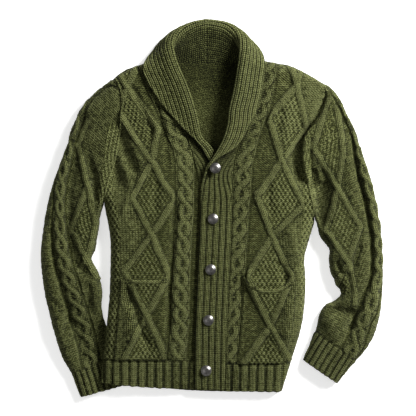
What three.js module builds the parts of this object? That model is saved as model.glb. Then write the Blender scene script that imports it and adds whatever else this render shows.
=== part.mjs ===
// A shawl-collared cable-knit cardigan, buttoned up and laid on its back on a flat surface.
// Millimetres. +Z is up from the surface, +Y runs from the hem to the collar, and the wearer's left
// is at +X. The origin is the middle of the underside of the whole garment.
//
// Every knitted piece is a wall with an outer and an inner face. Tables hold a row for each section,
// and a smooth curve through the rows gives what lies between them.
import * as THREE from "three";

// Driving dimensions
const WALL = 4; // the knitted panels
const RIB_WALL = 5; // the collar and the button bands
const GAP = 0.3; // between pieces that meet or lie on each other
const BODY_ROUND = 26; // radius of the rolled side of the body
const SHOULDER_ROUND = 30; // radius of the rolled shoulder
const SLEEVE_ROUND = 26; // radius of the rolled edge of a sleeve
const SLEEVE_EDGE = 9.5; // height of a sleeve at its rolled edges
const POCKET_GAPE = 12; // how far a pocket's mouth stands off the front
const CUFF_LIFT = 14.8; // the body's corner lies this high on the cuff beneath it
const LIFTED_LOSS = 0.55; // the share of that lift which the front above it doesn't gain
const BUTTON_COUNT = 5;
const BUTTON_RADIUS = 11.5;
const BUTTON_HEIGHT = 7.4;
const BUTTON_BASE = 0.7; // the flat base's share of the radius
const RIM_UP = 0.2; // how high the rim's underside is, as a share of the height
const WOOL = 0x4f5733;
const METAL = 0x6b6a66;

// Grid rows run from the hem to the shoulder. The underarm is half way up them.
const UNDERARM = 0.5;
const PANEL_ROWS = 14; // rows of a front's table, less one
const ROWS_BELOW_ARM = 14;
const ROWS_ALONG_ARM = 7;
const FOLD_SHARE = 0.6; // coarse facets carry this share of a fold's depth

const table = (names, rows) =>
  rows.map((row) => Object.fromEntries(names.split(" ").map((name, i) => [name, row[i]])));

// Row by row from the hem: the side edge, the centre edge, how far the row bows towards the
// shoulder, and the height of the front above the back in its middle and at its centre edge.
const FRONT_COLUMNS = "sideX sideY centreX centreY bow loft centreLoft";
const FRONT_LEFT = table(FRONT_COLUMNS, [
  [147, -387, 25, -383, 0, 19, 20],
  [166, -326, 27, -327, 0, 25, 24],
  [185, -264, 30, -262, 0, 31, 28],
  [194, -215, 32, -210, 0, 32, 28],
  [197, -155, 34, -160, 0, 33, 28],
  [195, -105, 37, -105, 0, 34, 28],
  [206, -62, 39, -55, 0, 34, 28],
  [216, -20, 41, 0, 0, 35, 28],
  [205, 40, 42, 60, 0, 35, 30],
  [192, 100, 47, 108, 0, 35, 32],
  [195, 148, 60, 150, 0, 34, 31],
  [214, 176, 71, 186, 0, 34, 30],
  [233, 208, 79, 219, 2, 34, 28],
  [242, 238, 88, 262, 6, 33, 28],
  [233, 266, 105, 312, 11, 32, 28],
]);
const FRONT_RIGHT = table(FRONT_COLUMNS, [
  [-233, -366, -34, -379, -4, 19, 14],
  [-229, -318, -33, -321, 0, 25, 18],
  [-223, -266, -32, -262, 0, 31, 22],
  [-218, -213, -31, -210, 0, 32, 22],
  [-215, -160, -30, -155, 0, 33, 22],
  [-214, -110, -28, -100, 0, 34, 22],
  [-215, -55, -27, -45, 0, 34, 22],
  [-227, 12, -25, 10, 0, 35, 22],
  [-219, 52, -27, 60, 0, 35, 22],
  [-206, 95, -37, 104, 0, 35, 22],
  [-197, 140, -52, 150, 0, 34, 23],
  [-192, 180, -69, 192, 0, 34, 24],
  [-189, 222, -86, 229, 1, 34, 24],
  [-194, 254, -104, 272, 3, 33, 24],
  [-206, 276, -124, 312, 6, 32, 24],
]);

// Where a front's columns run, as shares of its width from the side to the centre. A pocket lies
// between two of them, and between the top of the hem rib and its mouth.
const LEFT_COLUMNS = [0, 0.015, 0.05, 0.13, 0.23, 0.34, 0.46, 0.58, 0.7, 0.81, 0.91, 1];
const RIGHT_COLUMNS = [0, 0.015, 0.05, 0.12, 0.22, 0.33, 0.44, 0.55, 0.665, 0.78, 0.89, 1];
const RIB_TOP = 1 / PANEL_ROWS;
const POCKET_MOUTH = 4 / PANEL_ROWS;

// The back's columns, and how far its top edge rises above a line from tip to tip of the shoulders.
const BACK_TOP = table("across rise", [
  [0, 0],
  [0.06, 19],
  [0.187, 38],
  [0.314, 36],
  [0.441, 36],
  [0.575, 39],
  [0.708, 43],
  [0.85, 34],
  [0.94, 15],
  [1, 0],
]);
const RISE_FROM = 0.72; // the row where the top edge's rise starts

// A sleeve's stations from the armhole to the cuff: its upper and under edge, and its height
// near each of them.
const SLEEVE_COLUMNS = "outerX outerY innerX innerY outerLoft innerLoft";
const SLEEVE_LEFT = table(SLEEVE_COLUMNS, [
  [233, 266, 216, -20, 38, 38],
  [262, 240, 221, -34, 38, 37],
  [281, 204, 228, -60, 38, 36],
  [300, 165, 240, -76, 38, 36],
  [319, 114, 248, -88, 38, 36],
  [336, 64, 247, -106, 38, 36],
  [349, 8, 248, -124, 37, 36],
  [358, -50, 252, -140, 37, 36],
  [362, -112, 262, -158, 37, 36],
  [361, -165, 272, -180, 37, 36],
  [357, -215, 258, -195, 36, 36],
  [349, -252, 238, -205, 35, 35],
  [334, -286, 226, -226, 33, 34],
  [313, -314, 221, -250, 31, 32],
  [290, -338, 209, -281, 29, 29],
  [265, -369, 193, -320, 26, 26],
]);
const SLEEVE_RIGHT = table(SLEEVE_COLUMNS, [
  [-206, 276, -227, 12, 38, 38],
  [-262, 228, -235, -16, 38, 37],
  [-288, 184, -239, -40, 38, 36],
  [-309, 127, -242, -62, 38, 36],
  [-328, 76, -246, -87, 38, 36],
  [-344, 26, -254, -104, 38, 36],
  [-355, -30, -254, -112, 37, 36],
  [-362, -90, -246, -127, 37, 36],
  [-360, -135, -236, -150, 37, 34],
  [-353, -184, -231, -180, 36, 30],
  [-344, -222, -233, -208, 34, 22],
  [-334, -262, -226, -240, 31, 14],
  [-317, -314, -211, -275, 28, 14],
  [-297, -350, -200, -309, 25, 14],
  [-277, -398, -185, -373, 21, 14],
]);
const SLEEVE_STATIONS = 20;
const CAP_FADE = 0.3; // the share of the sleeve over which the armhole's curve straightens

// The collar and the button band are one ribbed strip. Its seam runs up a front's centre edge
// (seam 0 to 1) and on round the back of the neck (1 to 2). Row by row: the line that it folds on,
// its free edge, how far the fold has turned over (0 is away from the neck, 180 is inwards over
// the front) and the radius of the fold.
const STRIP_COLUMNS = "seam foldX foldY foldZ freeX freeY freeZ turn round";
const STRIP_LEFT = table(STRIP_COLUMNS, [
  [0, -5, -381, 22, -36, -379, 22, 180, 0],
  [1 / 14, -4, -324, 26, -35, -323, 26, 180, 0],
  [2 / 14, -3, -262, 30, -34, -261, 30, 180, 0],
  [4 / 14, -2, -160, 30, -30, -160, 30, 180, 0],
  [6 / 14, -2, -53, 30, -25, -53, 30, 180, 0],
  [7 / 14, -5, 1, 30, -23, 1, 30, 180, 0],
  [7.8 / 14, -14, 52, 30.5, -21, 54, 31, 180, 0.5],
  [8.3 / 14, -13, 82, 35.4, -8, 86, 39.7, 180, 2.9],
  [8.7 / 14, -2, 102, 37.9, 16, 107, 43.8, 180, 3.4],
  [9.1 / 14, 10, 125, 38, 44, 124, 43.5, 180, 4],
  [9.6 / 14, 21, 148, 39, 63, 146, 42, 180, 4.5],
  [10.3 / 14, 32, 177, 40, 78, 177, 41.5, 180, 5],
  [11 / 14, 38, 207, 41, 92, 203, 41, 180, 6],
  [12 / 14, 46, 240, 42, 101, 234, 40.5, 180, 7],
  [13 / 14, 53, 278, 41, 107, 274, 38, 180, 8],
  [1, 59, 318, 39, 110, 306, 28, 172, 9],
  [1.2, 60, 343, 36, 105, 329, 12, 145, 9],
  [1.4, 55, 368, 32, 86, 352, 4, 100, 9],
  [1.65, 36, 385, 24, 59, 362, 3, 60, 9],
  [1.82, 12, 392, 17, 22, 352, 2.8, 25, 9],
  [2, -12.5, 395, 13, -12.5, 345, 2.8, 0, 9],
]);
const STRIP_RIGHT = table(STRIP_COLUMNS, [
  [0, -3, -380, 16, 24, -380, 16, 180, 0],
  [1 / 14, -2, -323, 20, 26, -323, 20, 180, 0],
  [2 / 14, -1, -262, 24.3, 27, -262, 24.3, 180, 0],
  [4 / 14, 5, -157, 24.3, 30, -157, 24.3, 180, 0],
  [6 / 14, 14, -48, 24.3, 33, -48, 24.3, 180, 0],
  [7 / 14, 21, 8, 24, 34, 8, 24, 180, 0],
  [7.8 / 14, 27, 54, 23, 32, 54, 23, 180, 0.5],
  [8.3 / 14, 21, 79, 22, 13, 83, 27.6, 180, 2.9],
  [8.7 / 14, 10, 105, 22, -6, 102, 27.5, 180, 2.9],
  [9.1 / 14, -3, 127, 24.5, -19, 124, 30.5, 180, 3.3],
  [9.6 / 14, -19, 149, 28, -34, 144, 33.5, 180, 3.8],
  [10.1 / 14, -24, 173, 30, -55, 163, 34.5, 180, 4.4],
  [10.7 / 14, -29, 198, 32, -80, 190, 36, 180, 5],
  [11.4 / 14, -38, 228, 35, -105, 219, 38, 180, 6],
  [12.2 / 14, -50, 261, 37, -128, 255, 37.5, 180, 7],
  [13 / 14, -65, 295, 38, -143, 287, 35, 180, 8],
  [1, -76, 324, 36, -139, 312, 22, 172, 9],
  [1.2, -80, 346, 34, -126, 331, 9, 145, 9],
  [1.4, -75, 367, 31, -108, 354, 4, 100, 9],
  [1.6, -58, 381, 24, -84, 361, 3, 60, 9],
  [1.8, -36, 390, 17, -48, 352, 2.8, 25, 9],
  [2, -12.5, 395, 13, -12.5, 345, 2.8, 0, 9],
]);
// The seam's stations: every row of the front, twice as many along the armhole, then the neck.
const NECK_STATIONS = [1.12, 1.25, 1.5, 1.65, 1.8, 1.9, 2];
const SHOULDER_SEAM = WALL + GAP + RIB_WALL / 2; // the strip's seam is no lower over the back
const NECK_MIDDLE = 4; // the back's column at the middle of the neck
const TIP_CLEAR = 3.5; // gaps between the strip and the back where the shoulder meets the neck
const FOLD_REACH = 0.22; // the fold's bend takes this share of the strip on each side

// The largest folds, each a trough (or a ridge, where it is negative) along a line of points.
const trough = (depth, width, ...points) => ({ depth, width, points });
const LEFT_FOLDS = [trough(9, 15, [237, 228], [185, 148], [174, 102], [188, 39])];
const RIGHT_FOLDS = [
  trough(8, 15, [-176, -170], [-151, -245], [-136, -297]),
  trough(5, 12, [-88, 10], [-88, -110]),
  trough(9, 20, [-200, 90], [-185, 60]),
  trough(-5, 16, [-190, 165], [-145, 91], [-172, 18]),
];
const SLEEVE_LEFT_FOLDS = [
  trough(13, 12, [269, 211], [290, 144], [315, 39], [334, -66], [334, -119], [313, -192]),
  trough(9, 16, [215, 85], [240, 30], [250, -20]),
  trough(9, 12, [280, -176], [311, -203]),
];
const SLEEVE_RIGHT_FOLDS = [
  trough(13, 12, [-267, 186], [-298, 60], [-307, -3], [-300, -66], [-280, -127], [-250, -143]),
  trough(9, 14, [-260, 123], [-252, 49], [-246, -10]),
  trough(6, 12, [-330, -66], [-319, -171], [-307, -230]),
];

const mix = (a, b, t) => a + (b - a) * t;
const clamp = (t) => Math.min(1, Math.max(0, t));
const smooth = (t) => clamp(t) ** 2 * (3 - 2 * clamp(t));
// The height of a quarter round at a distance from its edge, both as shares of its radius.
const roll = (t) => Math.sqrt(1 - (1 - clamp(t)) ** 2);

// A smooth curve through every column of a table, at t from 0 to 1.
function rowAt(rows, t) {
  const at = clamp(t) * (rows.length - 1);
  const i = Math.min(rows.length - 2, Math.floor(at));
  const f = at - i;
  const pick = (k) => rows[Math.min(rows.length - 1, Math.max(0, k))];
  const found = {};
  for (const name of Object.keys(rows[0])) {
    const [a, b, c, d] = [pick(i - 1)[name], pick(i)[name], pick(i + 1)[name], pick(i + 2)[name]];
    const bend = (2 * a - 5 * b + 4 * c - d) * f * f + (3 * b - a - 3 * c + d) * f ** 3;
    found[name] = b + 0.5 * ((c - a) * f + bend);
  }
  return found;
}

function distanceToLine(x, y, points) {
  let best = Infinity;
  for (let i = 0; i + 1 < points.length; i += 1) {
    const [[ax, ay], [bx, by]] = [points[i], points[i + 1]];
    const along = ((x - ax) * (bx - ax) + (y - ay) * (by - ay)) / ((bx - ax) ** 2 + (by - ay) ** 2);
    const t = clamp(along);
    best = Math.min(best, Math.hypot(x - mix(ax, bx, t), y - mix(ay, by, t)));
  }
  return best;
}

const foldDepth = (x, y, folds) =>
  FOLD_SHARE *
  folds.reduce(
    (sum, f) => sum + f.depth * Math.exp(-((distanceToLine(x, y, f.points) / f.width) ** 2)),
    0,
  );

// The body's corner is lifted where it lies on the cuff of the right sleeve.
const ground = (x, y) => CUFF_LIFT * smooth((-128 - x) / 50) * smooth((-188 - y) / 45);

// A closed wall between two grids of points, both outer[row][column]. The outer face shows when
// columns run to the right and rows run up.
function wall(outer, inner) {
  const rows = outer.length;
  const columns = outer[0].length;
  const vertices = [...outer.flat(), ...inner.flat()].flatMap((p) => [p.x, p.y, p.z]);
  const faces = [];
  const at = (r, c, side) => side * rows * columns + r * columns + c;
  const quad = (a, b, c, d) => faces.push(a, b, c, a, c, d);
  for (let r = 0; r + 1 < rows; r += 1) {
    for (let c = 0; c + 1 < columns; c += 1) {
      quad(at(r, c, 0), at(r, c + 1, 0), at(r + 1, c + 1, 0), at(r + 1, c, 0));
      faces.push(at(r, c, 1), at(r + 1, c + 1, 1), at(r, c + 1, 1));
      faces.push(at(r, c, 1), at(r + 1, c, 1), at(r + 1, c + 1, 1));
    }
    const [first, last] = [0, columns - 1];
    quad(at(r, first, 1), at(r, first, 0), at(r + 1, first, 0), at(r + 1, first, 1));
    quad(at(r, last, 0), at(r, last, 1), at(r + 1, last, 1), at(r + 1, last, 0));
  }
  for (let c = 0; c + 1 < columns; c += 1) {
    const [first, last] = [0, rows - 1];
    quad(at(first, c, 1), at(first, c + 1, 1), at(first, c + 1, 0), at(first, c, 0));
    quad(at(last, c, 0), at(last, c + 1, 0), at(last, c + 1, 1), at(last, c, 1));
  }
  return solid(vertices, faces);
}

function solid(vertices, faces) {
  const geometry = new THREE.BufferGeometry();
  geometry.setAttribute("position", new THREE.Float32BufferAttribute(vertices, 3));
  geometry.setIndex(faces);
  geometry.computeVertexNormals();
  return geometry;
}

// The direction square to a grid of points at one of them, on the side that faces up.
function normalAt(grid, r, c) {
  const row = (k) => grid[Math.min(grid.length - 1, Math.max(0, k))];
  const column = (k) => Math.min(grid[0].length - 1, Math.max(0, k));
  const across = row(r)[column(c + 1)].clone().sub(row(r)[column(c - 1)]);
  const along = row(r + 1)[c].clone().sub(row(r - 1)[c]);
  return across.cross(along).normalize();
}

// Takes out of a direction what points out of the upright wall through an edge of the grid.
function keepInWall(direction, from, to) {
  const out = new THREE.Vector3(to.y - from.y, from.x - to.x, 0).normalize();
  return direction.addScaledVector(out, -direction.dot(out)).normalize();
}

// Fronts

const PANEL_STEPS = [
  ...Array.from({ length: ROWS_BELOW_ARM }, (_, i) => (UNDERARM * i) / ROWS_BELOW_ARM),
  ...Array.from(
    { length: ROWS_ALONG_ARM + 1 },
    (_, i) => UNDERARM + ((1 - UNDERARM) * i) / ROWS_ALONG_ARM,
  ),
];

// How open the side of the body is at a row: 0 at the side seam, 1 in the middle of the armhole.
function armholeShare(v, rows) {
  const s = (v - UNDERARM) / (1 - UNDERARM);
  const length = rowAt(rows, 1).sideY - rowAt(rows, UNDERARM).sideY;
  return s <= 0 ? 0 : roll((Math.min(s, 1 - s) * length) / BODY_ROUND);
}

function frontPoint(rows, folds, u, v) {
  const row = rowAt(rows, v);
  const x = mix(row.sideX, row.centreX, u);
  const y = mix(row.sideY, row.centreY, u) + row.bow * 4 * u * (1 - u);
  const fromSide = u * Math.hypot(row.centreX - row.sideX, row.centreY - row.sideY);
  const below = (1 - v) * (rowAt(rows, 1).centreY - rowAt(rows, 0).centreY);
  const side = mix(armholeShare(v, rows), 1, roll(fromSide / BODY_ROUND));
  const share = side * roll(below / SHOULDER_ROUND);
  const loft = mix(row.loft, row.centreLoft, smooth((u - 0.6) / 0.4));
  const base = ground(x, y);
  const z = (loft - LIFTED_LOSS * base - foldDepth(x, y, folds)) * share;
  return new THREE.Vector3(x, y, base + WALL + GAP + Math.max(0, z));
}

// A front's outer and inner faces. At the side and shoulder it stands on the back, so its wall is
// upright there; its armhole, hem and centre edges are cut square.
function frontFaces(rows, columns, folds) {
  const outer = PANEL_STEPS.map((v) => columns.map((u) => frontPoint(rows, folds, u, v)));
  const [lastRow, lastColumn] = [outer.length - 1, columns.length - 1];
  const inner = outer.map((line, r) =>
    line.map((p, c) => {
      const n = normalAt(outer, r, c);
      if (n.z < 0) n.negate();
      const side = c === 0 && r <= ROWS_BELOW_ARM;
      const armhole = c === 0 && r > ROWS_BELOW_ARM;
      if (r === 0) keepInWall(n, line[Math.max(0, c - 1)], line[Math.min(lastColumn, c + 1)]);
      if (armhole || c === lastColumn) n.set(0, 0, 1);
      if (side) n.copy(line[0]).sub(line[lastColumn]).setZ(0).normalize();
      if (r === lastRow) n.copy(p).sub(outer[r - 1][c]).setZ(0).normalize();
      const q = p.clone().addScaledVector(n, -WALL);
      return q.setZ(Math.max(q.z, ground(q.x, q.y) + WALL + GAP));
    }),
  );
  return { outer, inner };
}

// Patch pockets lie on a front between two of its columns, on the front's own points moved out.
// The mouth droops by a share of the row below it and stands off the front.
function pocket(front, firstColumn, lastColumn, droop) {
  const columns = lastColumn - firstColumn;
  const mouthRow = PANEL_STEPS.findIndex((v) => v > POCKET_MOUTH - 1e-9);
  const firstRow = PANEL_STEPS.findIndex((v) => v > RIB_TOP - 1e-9);
  const faces = { outer: [], inner: [] };
  for (let r = firstRow; r <= mouthRow; r += 1) {
    const inner = [];
    const outer = [];
    for (let c = 0; c <= columns; c += 1) {
      const middle = Math.sin((Math.PI * c) / columns);
      const on = front.outer[r][firstColumn + c].clone();
      if (r === mouthRow) on.lerp(front.outer[r - 1][firstColumn + c], droop * middle);
      const n = normalAt(front.outer, r, firstColumn + c);
      if (n.z < 0) n.negate();
      const up = (r - firstRow) / (mouthRow - firstRow);
      const lift = GAP + (c > 0 && c < columns ? GAP : 0) + POCKET_GAPE * middle * up * up;
      inner.push(on.clone().addScaledVector(n, lift));
      outer.push(on.clone().addScaledVector(n, lift + WALL));
    }
    faces.inner.push(inner);
    faces.outer.push(outer);
  }
  return faces;
}

// Back

function backPoint(column, v) {
  const [left, right] = [rowAt(FRONT_RIGHT, v), rowAt(FRONT_LEFT, v)];
  const rise = column.rise * smooth((v - RISE_FROM) / (1 - RISE_FROM));
  const droop = -8 * Math.sin(Math.PI * column.across) * smooth(1 - v / RIB_TOP);
  const x = mix(left.sideX, right.sideX, column.across);
  const y = mix(left.sideY, right.sideY, column.across) + rise + droop;
  return new THREE.Vector3(x, y, ground(x, y) + WALL);
}

function backFaces() {
  const outer = PANEL_STEPS.map((v) => BACK_TOP.map((column) => backPoint(column, v)));
  const inner = outer.map((line) => line.map((p) => p.clone().setZ(p.z - WALL)));
  return { outer, inner };
}

// Sleeves: a flattened tube, open at the armhole and the cuff, with a flat underside. Its first
// ring follows the armhole of the front and of the back.

function sleevePoint(rows, folds, cut, t, k) {
  const row = rowAt(rows, t);
  const length = Math.hypot(row.outerX - row.innerX, row.outerY - row.innerY);
  const fade = 1 - smooth(t / CAP_FADE);
  const even = (1 - Math.cos((Math.PI * k) / ROWS_ALONG_ARM)) / 2;
  const s = mix(even, cut.share, fade);
  const x = mix(row.outerX, row.innerX, s) + (cut.x + Math.sign(row.outerX) * GAP) * fade;
  const y = mix(row.outerY, row.innerY, s) + cut.y * fade;
  const loft = mix(row.outerLoft, row.innerLoft, smooth((s - 0.1) / 0.4));
  const edge = roll((Math.min(s, 1 - s) * length) / SLEEVE_ROUND);
  const drop = foldDepth(x, y, folds) * smooth(t * 8);
  return new THREE.Vector3(x, y, SLEEVE_EDGE + Math.max(0, (loft - SLEEVE_EDGE - drop) * edge));
}

function sleeve(panel, rows, folds) {
  const top = panel.length - 1;
  const sides = ROWS_ALONG_ARM + 1;
  const edge = Array.from({ length: sides }, (_, k) => panel[top - k][0]);
  const [start, end] = [edge[0], edge[ROWS_ALONG_ARM]];
  const [spanX, spanY] = [end.x - start.x, end.y - start.y];
  const armhole = edge.map((p) => {
    const share = ((p.x - start.x) * spanX + (p.y - start.y) * spanY) / (spanX ** 2 + spanY ** 2);
    return { share, x: p.x - mix(start.x, end.x, share), y: p.y - mix(start.y, end.y, share) };
  });
  const vertices = [];
  const faces = [];
  const ring = 2 * sides;
  for (let i = 0; i <= SLEEVE_STATIONS; i += 1) {
    const t = i / SLEEVE_STATIONS;
    const outer = armhole.map((cut, k) => sleevePoint(rows, folds, cut, t, k));
    const inner = outer.map((p) => p.clone().setZ(p.z - WALL));
    for (const [at, next] of [[0, 1], [sides - 1, sides - 2]]) {
      const reach = outer[at].distanceTo(outer[next].clone().setZ(outer[at].z));
      inner[at].lerp(inner[next], WALL / reach);
    }
    for (const [points, bottom] of [[outer, 0], [inner, WALL]]) {
      points.forEach((p) => vertices.push(p.x, p.y, p.z));
      points.reverse().forEach((p) => vertices.push(p.x, p.y, bottom));
    }
  }
  const at = (i, k, inside) => (2 * i + inside) * ring + (k % ring);
  const turned = rows[0].outerX > 0;
  const quad = (a, b, c, d) => faces.push(...(turned ? [a, b, c, a, c, d] : [a, c, b, a, d, c]));
  for (let k = 0; k < ring; k += 1) {
    for (let i = 0; i < SLEEVE_STATIONS; i += 1) {
      quad(at(i, k, 0), at(i, k + 1, 0), at(i + 1, k + 1, 0), at(i + 1, k, 0));
      quad(at(i, k, 1), at(i + 1, k, 1), at(i + 1, k + 1, 1), at(i, k + 1, 1));
    }
    const last = SLEEVE_STATIONS;
    quad(at(0, k, 1), at(0, k + 1, 1), at(0, k + 1, 0), at(0, k, 0));
    quad(at(last, k, 0), at(last, k + 1, 0), at(last, k + 1, 1), at(last, k, 1));
  }
  return solid(vertices, faces);
}

// Collar and bands

const SEAM_STATIONS = [
  ...PANEL_STEPS.flatMap((v, i) => (v > UNDERARM ? [(v + PANEL_STEPS[i - 1]) / 2, v] : [v])),
  ...NECK_STATIONS,
];

// A strip's row at a place along its seam.
function rowAtSeam(rows, seam) {
  const i = Math.min(rows.length - 2, rows.findLastIndex((row) => row.seam <= seam + 1e-9));
  const f = (seam - rows[i].seam) / (rows[i + 1].seam - rows[i].seam);
  return rowAt(rows, (i + f) / (rows.length - 1));
}

// The seam of the strip: up the middle of a front's centre edge and round the back of the neck.
function seamPoint(front, back, seam, side) {
  if (seam <= 1) {
    const at = PANEL_STEPS.findLastIndex((v) => v <= seam + 1e-9);
    const next = Math.min(PANEL_STEPS.length - 1, at + 1);
    const f = next === at ? 0 : (seam - PANEL_STEPS[at]) / (PANEL_STEPS[next] - PANEL_STEPS[at]);
    const point = (r) => front.outer[r].at(-1).clone().lerp(front.inner[r].at(-1), 0.5);
    const found = point(at).lerp(point(next), f);
    const clear = seam === 1 ? TIP_CLEAR * GAP : 0;
    return found.set(found.x - side * GAP, found.y + clear, Math.max(found.z, SHOULDER_SEAM));
  }
  const top = back.outer.at(-1);
  const from = front.outer.at(-1).at(-1);
  const centre = top[NECK_MIDDLE];
  const x = mix(from.x, centre.x + side * (GAP / 2), seam - 1);
  const next = top.findIndex((p) => p.x > x);
  const [a, b] = [top[next - 1], top[next]];
  const clear = mix(TIP_CLEAR, 1, smooth((seam - 1) / 0.3)) * GAP;
  return new THREE.Vector3(x, mix(a.y, b.y, (x - a.x) / (b.x - a.x)) + clear, RIB_WALL / 2);
}

function stripFaces(rows, front, frontMesh, side) {
  const lastRow = SEAM_STATIONS.length - 1;
  const centreLine = SEAM_STATIONS.map((station, i) => {
    const row = rowAtSeam(rows, station);
    const seam = seamPoint(front, back, station, side);
    const fold = new THREE.Vector3(row.foldX, row.foldY, row.foldZ);
    const free = new THREE.Vector3(row.freeX, row.freeY, row.freeZ);
    if (i === lastRow) fold.x = free.x = seam.x;
    const turn = (row.turn * Math.PI) / 180;
    const inward = new THREE.Vector3(i === lastRow ? 0 : -side * Math.sin(turn), 0, Math.cos(turn));
    const beforeFold = fold.clone().lerp(seam, FOLD_REACH).addScaledVector(inward, row.round);
    const afterFold = fold.clone().lerp(free, FOLD_REACH).addScaledVector(inward, -row.round);
    const middle = afterFold.clone().lerp(free, 0.5);
    if (row.round > 1) {
      for (const p of [afterFold, middle, free]) {
        const resting = restingHeight(frontMesh, p.x, p.y, RIB_WALL) + GAP + RIB_WALL / 2;
        p.z = Math.max(p.z, resting > RIB_WALL ? resting : 0);
      }
    }
    return [seam, seam.clone().lerp(beforeFold, 0.5), beforeFold, fold, afterFold, middle, free];
  });
  const offset = (p, r, c, share) => {
    const n = normalAt(centreLine, r, c);
    if (c === 0) n.set(0, 0, 1);
    if (r === 0) keepInWall(n, centreLine[0][0], centreLine[0].at(-1));
    if (r === lastRow) n.setX(0).normalize();
    if (c === 0 && side > 0 && r < lastRow) n.negate();
    const q = p.clone().addScaledVector(n, share * RIB_WALL);
    return q.setZ(Math.max(0, q.z));
  };
  const face = (share) => centreLine.map((line, r) => line.map((p, c) => offset(p, r, c, share)));
  return { outer: face(0.5), inner: face(-0.5) };
}

// Buttons: a dome with a rounded rim and a flat base

function button(radius, height) {
  const profile = table("out up", [
    [0, 0],
    [BUTTON_BASE, 0],
    [0.95, RIM_UP],
    [1, 0.4],
    [0.94, 0.58],
    [0.75, 0.8],
    [0.4, 0.95],
    [0, 1],
  ]).map((p) => new THREE.Vector2(p.out * radius, p.up * height));
  return new THREE.LatheGeometry(profile, 14).rotateX(Math.PI / 2);
}

// The height of the highest point of a mesh under a disc.
function restingHeight(mesh, x, y, radius) {
  const down = new THREE.Vector3(0, 0, -1);
  const heights = [new THREE.Vector2(x, y)];
  for (let a = 0; a < 16; a += 1) {
    const angle = (a * Math.PI) / 8;
    heights.push(new THREE.Vector2(x + radius * Math.cos(angle), y + radius * Math.sin(angle)));
  }
  return Math.max(
    ...heights.map((p) => {
      const ray = new THREE.Raycaster(new THREE.Vector3(p.x, p.y, 200), down);
      const hit = ray.intersectObject(mesh)[0];
      return hit ? hit.point.z : 0;
    }),
  );
}

const BUTTONS = table("top bottom", [
  [7, -12],
  [84, -341],
]);

// The garment

const wool = (shade) =>
  new THREE.MeshStandardMaterial({ color: new THREE.Color(WOOL).multiplyScalar(shade), roughness: 0.95 });
const metal = () => new THREE.MeshStandardMaterial({ color: METAL, roughness: 0.4, metalness: 1 });

const garment = new THREE.Group();
function add(name, geometry, material) {
  const mesh = new THREE.Mesh(geometry, material);
  mesh.name = name;
  garment.add(mesh);
  return mesh;
}

const mirrored = (faces) => ({
  outer: faces.outer.map((line) => [...line].reverse()),
  inner: faces.inner.map((line) => [...line].reverse()),
});

const back = backFaces();
const left = frontFaces(FRONT_LEFT, LEFT_COLUMNS, LEFT_FOLDS);
const right = frontFaces(FRONT_RIGHT, RIGHT_COLUMNS, RIGHT_FOLDS);
const walled = (faces) => wall(faces.outer, faces.inner);

add("back", walled(back), wool(0.9));
const frontLeft = add("front_left", walled(mirrored(left)), wool(1));
const frontRight = add("front_right", walled(right), wool(1));
add("sleeve_left", sleeve(left.outer, SLEEVE_LEFT, SLEEVE_LEFT_FOLDS), wool(1.05));
add("sleeve_right", sleeve(right.outer, SLEEVE_RIGHT, SLEEVE_RIGHT_FOLDS), wool(0.95));
const leftPocket = pocket(left, LEFT_COLUMNS.indexOf(0.13), LEFT_COLUMNS.indexOf(0.81), 0.9);
const rightPocket = pocket(right, RIGHT_COLUMNS.indexOf(0.12), RIGHT_COLUMNS.indexOf(0.665), 0.1);
add("pocket_left", walled(mirrored(leftPocket)), wool(1.1));
add("pocket_right", walled(rightPocket), wool(1.1));
const topStrip = stripFaces(STRIP_LEFT, left, frontLeft, 1);
const underStrip = stripFaces(STRIP_RIGHT, right, frontRight, -1);
const topBand = add("collar_left", walled(topStrip), wool(1.15));
add("collar_right", walled(underStrip), wool(1.1));

for (let i = 0; i < BUTTON_COUNT; i += 1) {
  const t = i / (BUTTON_COUNT - 1);
  const x = mix(BUTTONS[0].top, BUTTONS[0].bottom, t);
  const y = mix(BUTTONS[1].top, BUTTONS[1].bottom, t);
  const mesh = add(`button_${i + 1}`, button(BUTTON_RADIUS, BUTTON_HEIGHT), metal());
  const underBase = restingHeight(topBand, x, y, BUTTON_BASE * BUTTON_RADIUS);
  const underRim = restingHeight(topBand, x, y, BUTTON_RADIUS) - RIM_UP * BUTTON_HEIGHT;
  mesh.position.set(x, y, Math.max(underBase, underRim) + GAP);
}

// The origin goes to the middle of the underside.
const box = new THREE.Box3().setFromObject(garment);
const middle = box.getCenter(new THREE.Vector3());
garment.position.set(-middle.x, -middle.y, -box.min.z);

export default garment;
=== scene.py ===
"""A shawl-collared cable-knit cardigan, buttoned up and laid on its back.

Shapes are worked out in millimetres in the frame of the CAD part and stored in metres. Every knitted
piece is a thin closed shell on the form of its CAD solid: a smooth base, listed folds, and the
relief of its ribs, cables, lattice and moss stitch. Stitches and yarn are in the wool's material.
"""
import math
import bpy
import numpy as np
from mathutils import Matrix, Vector
from mathutils.bvhtree import BVHTree


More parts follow.
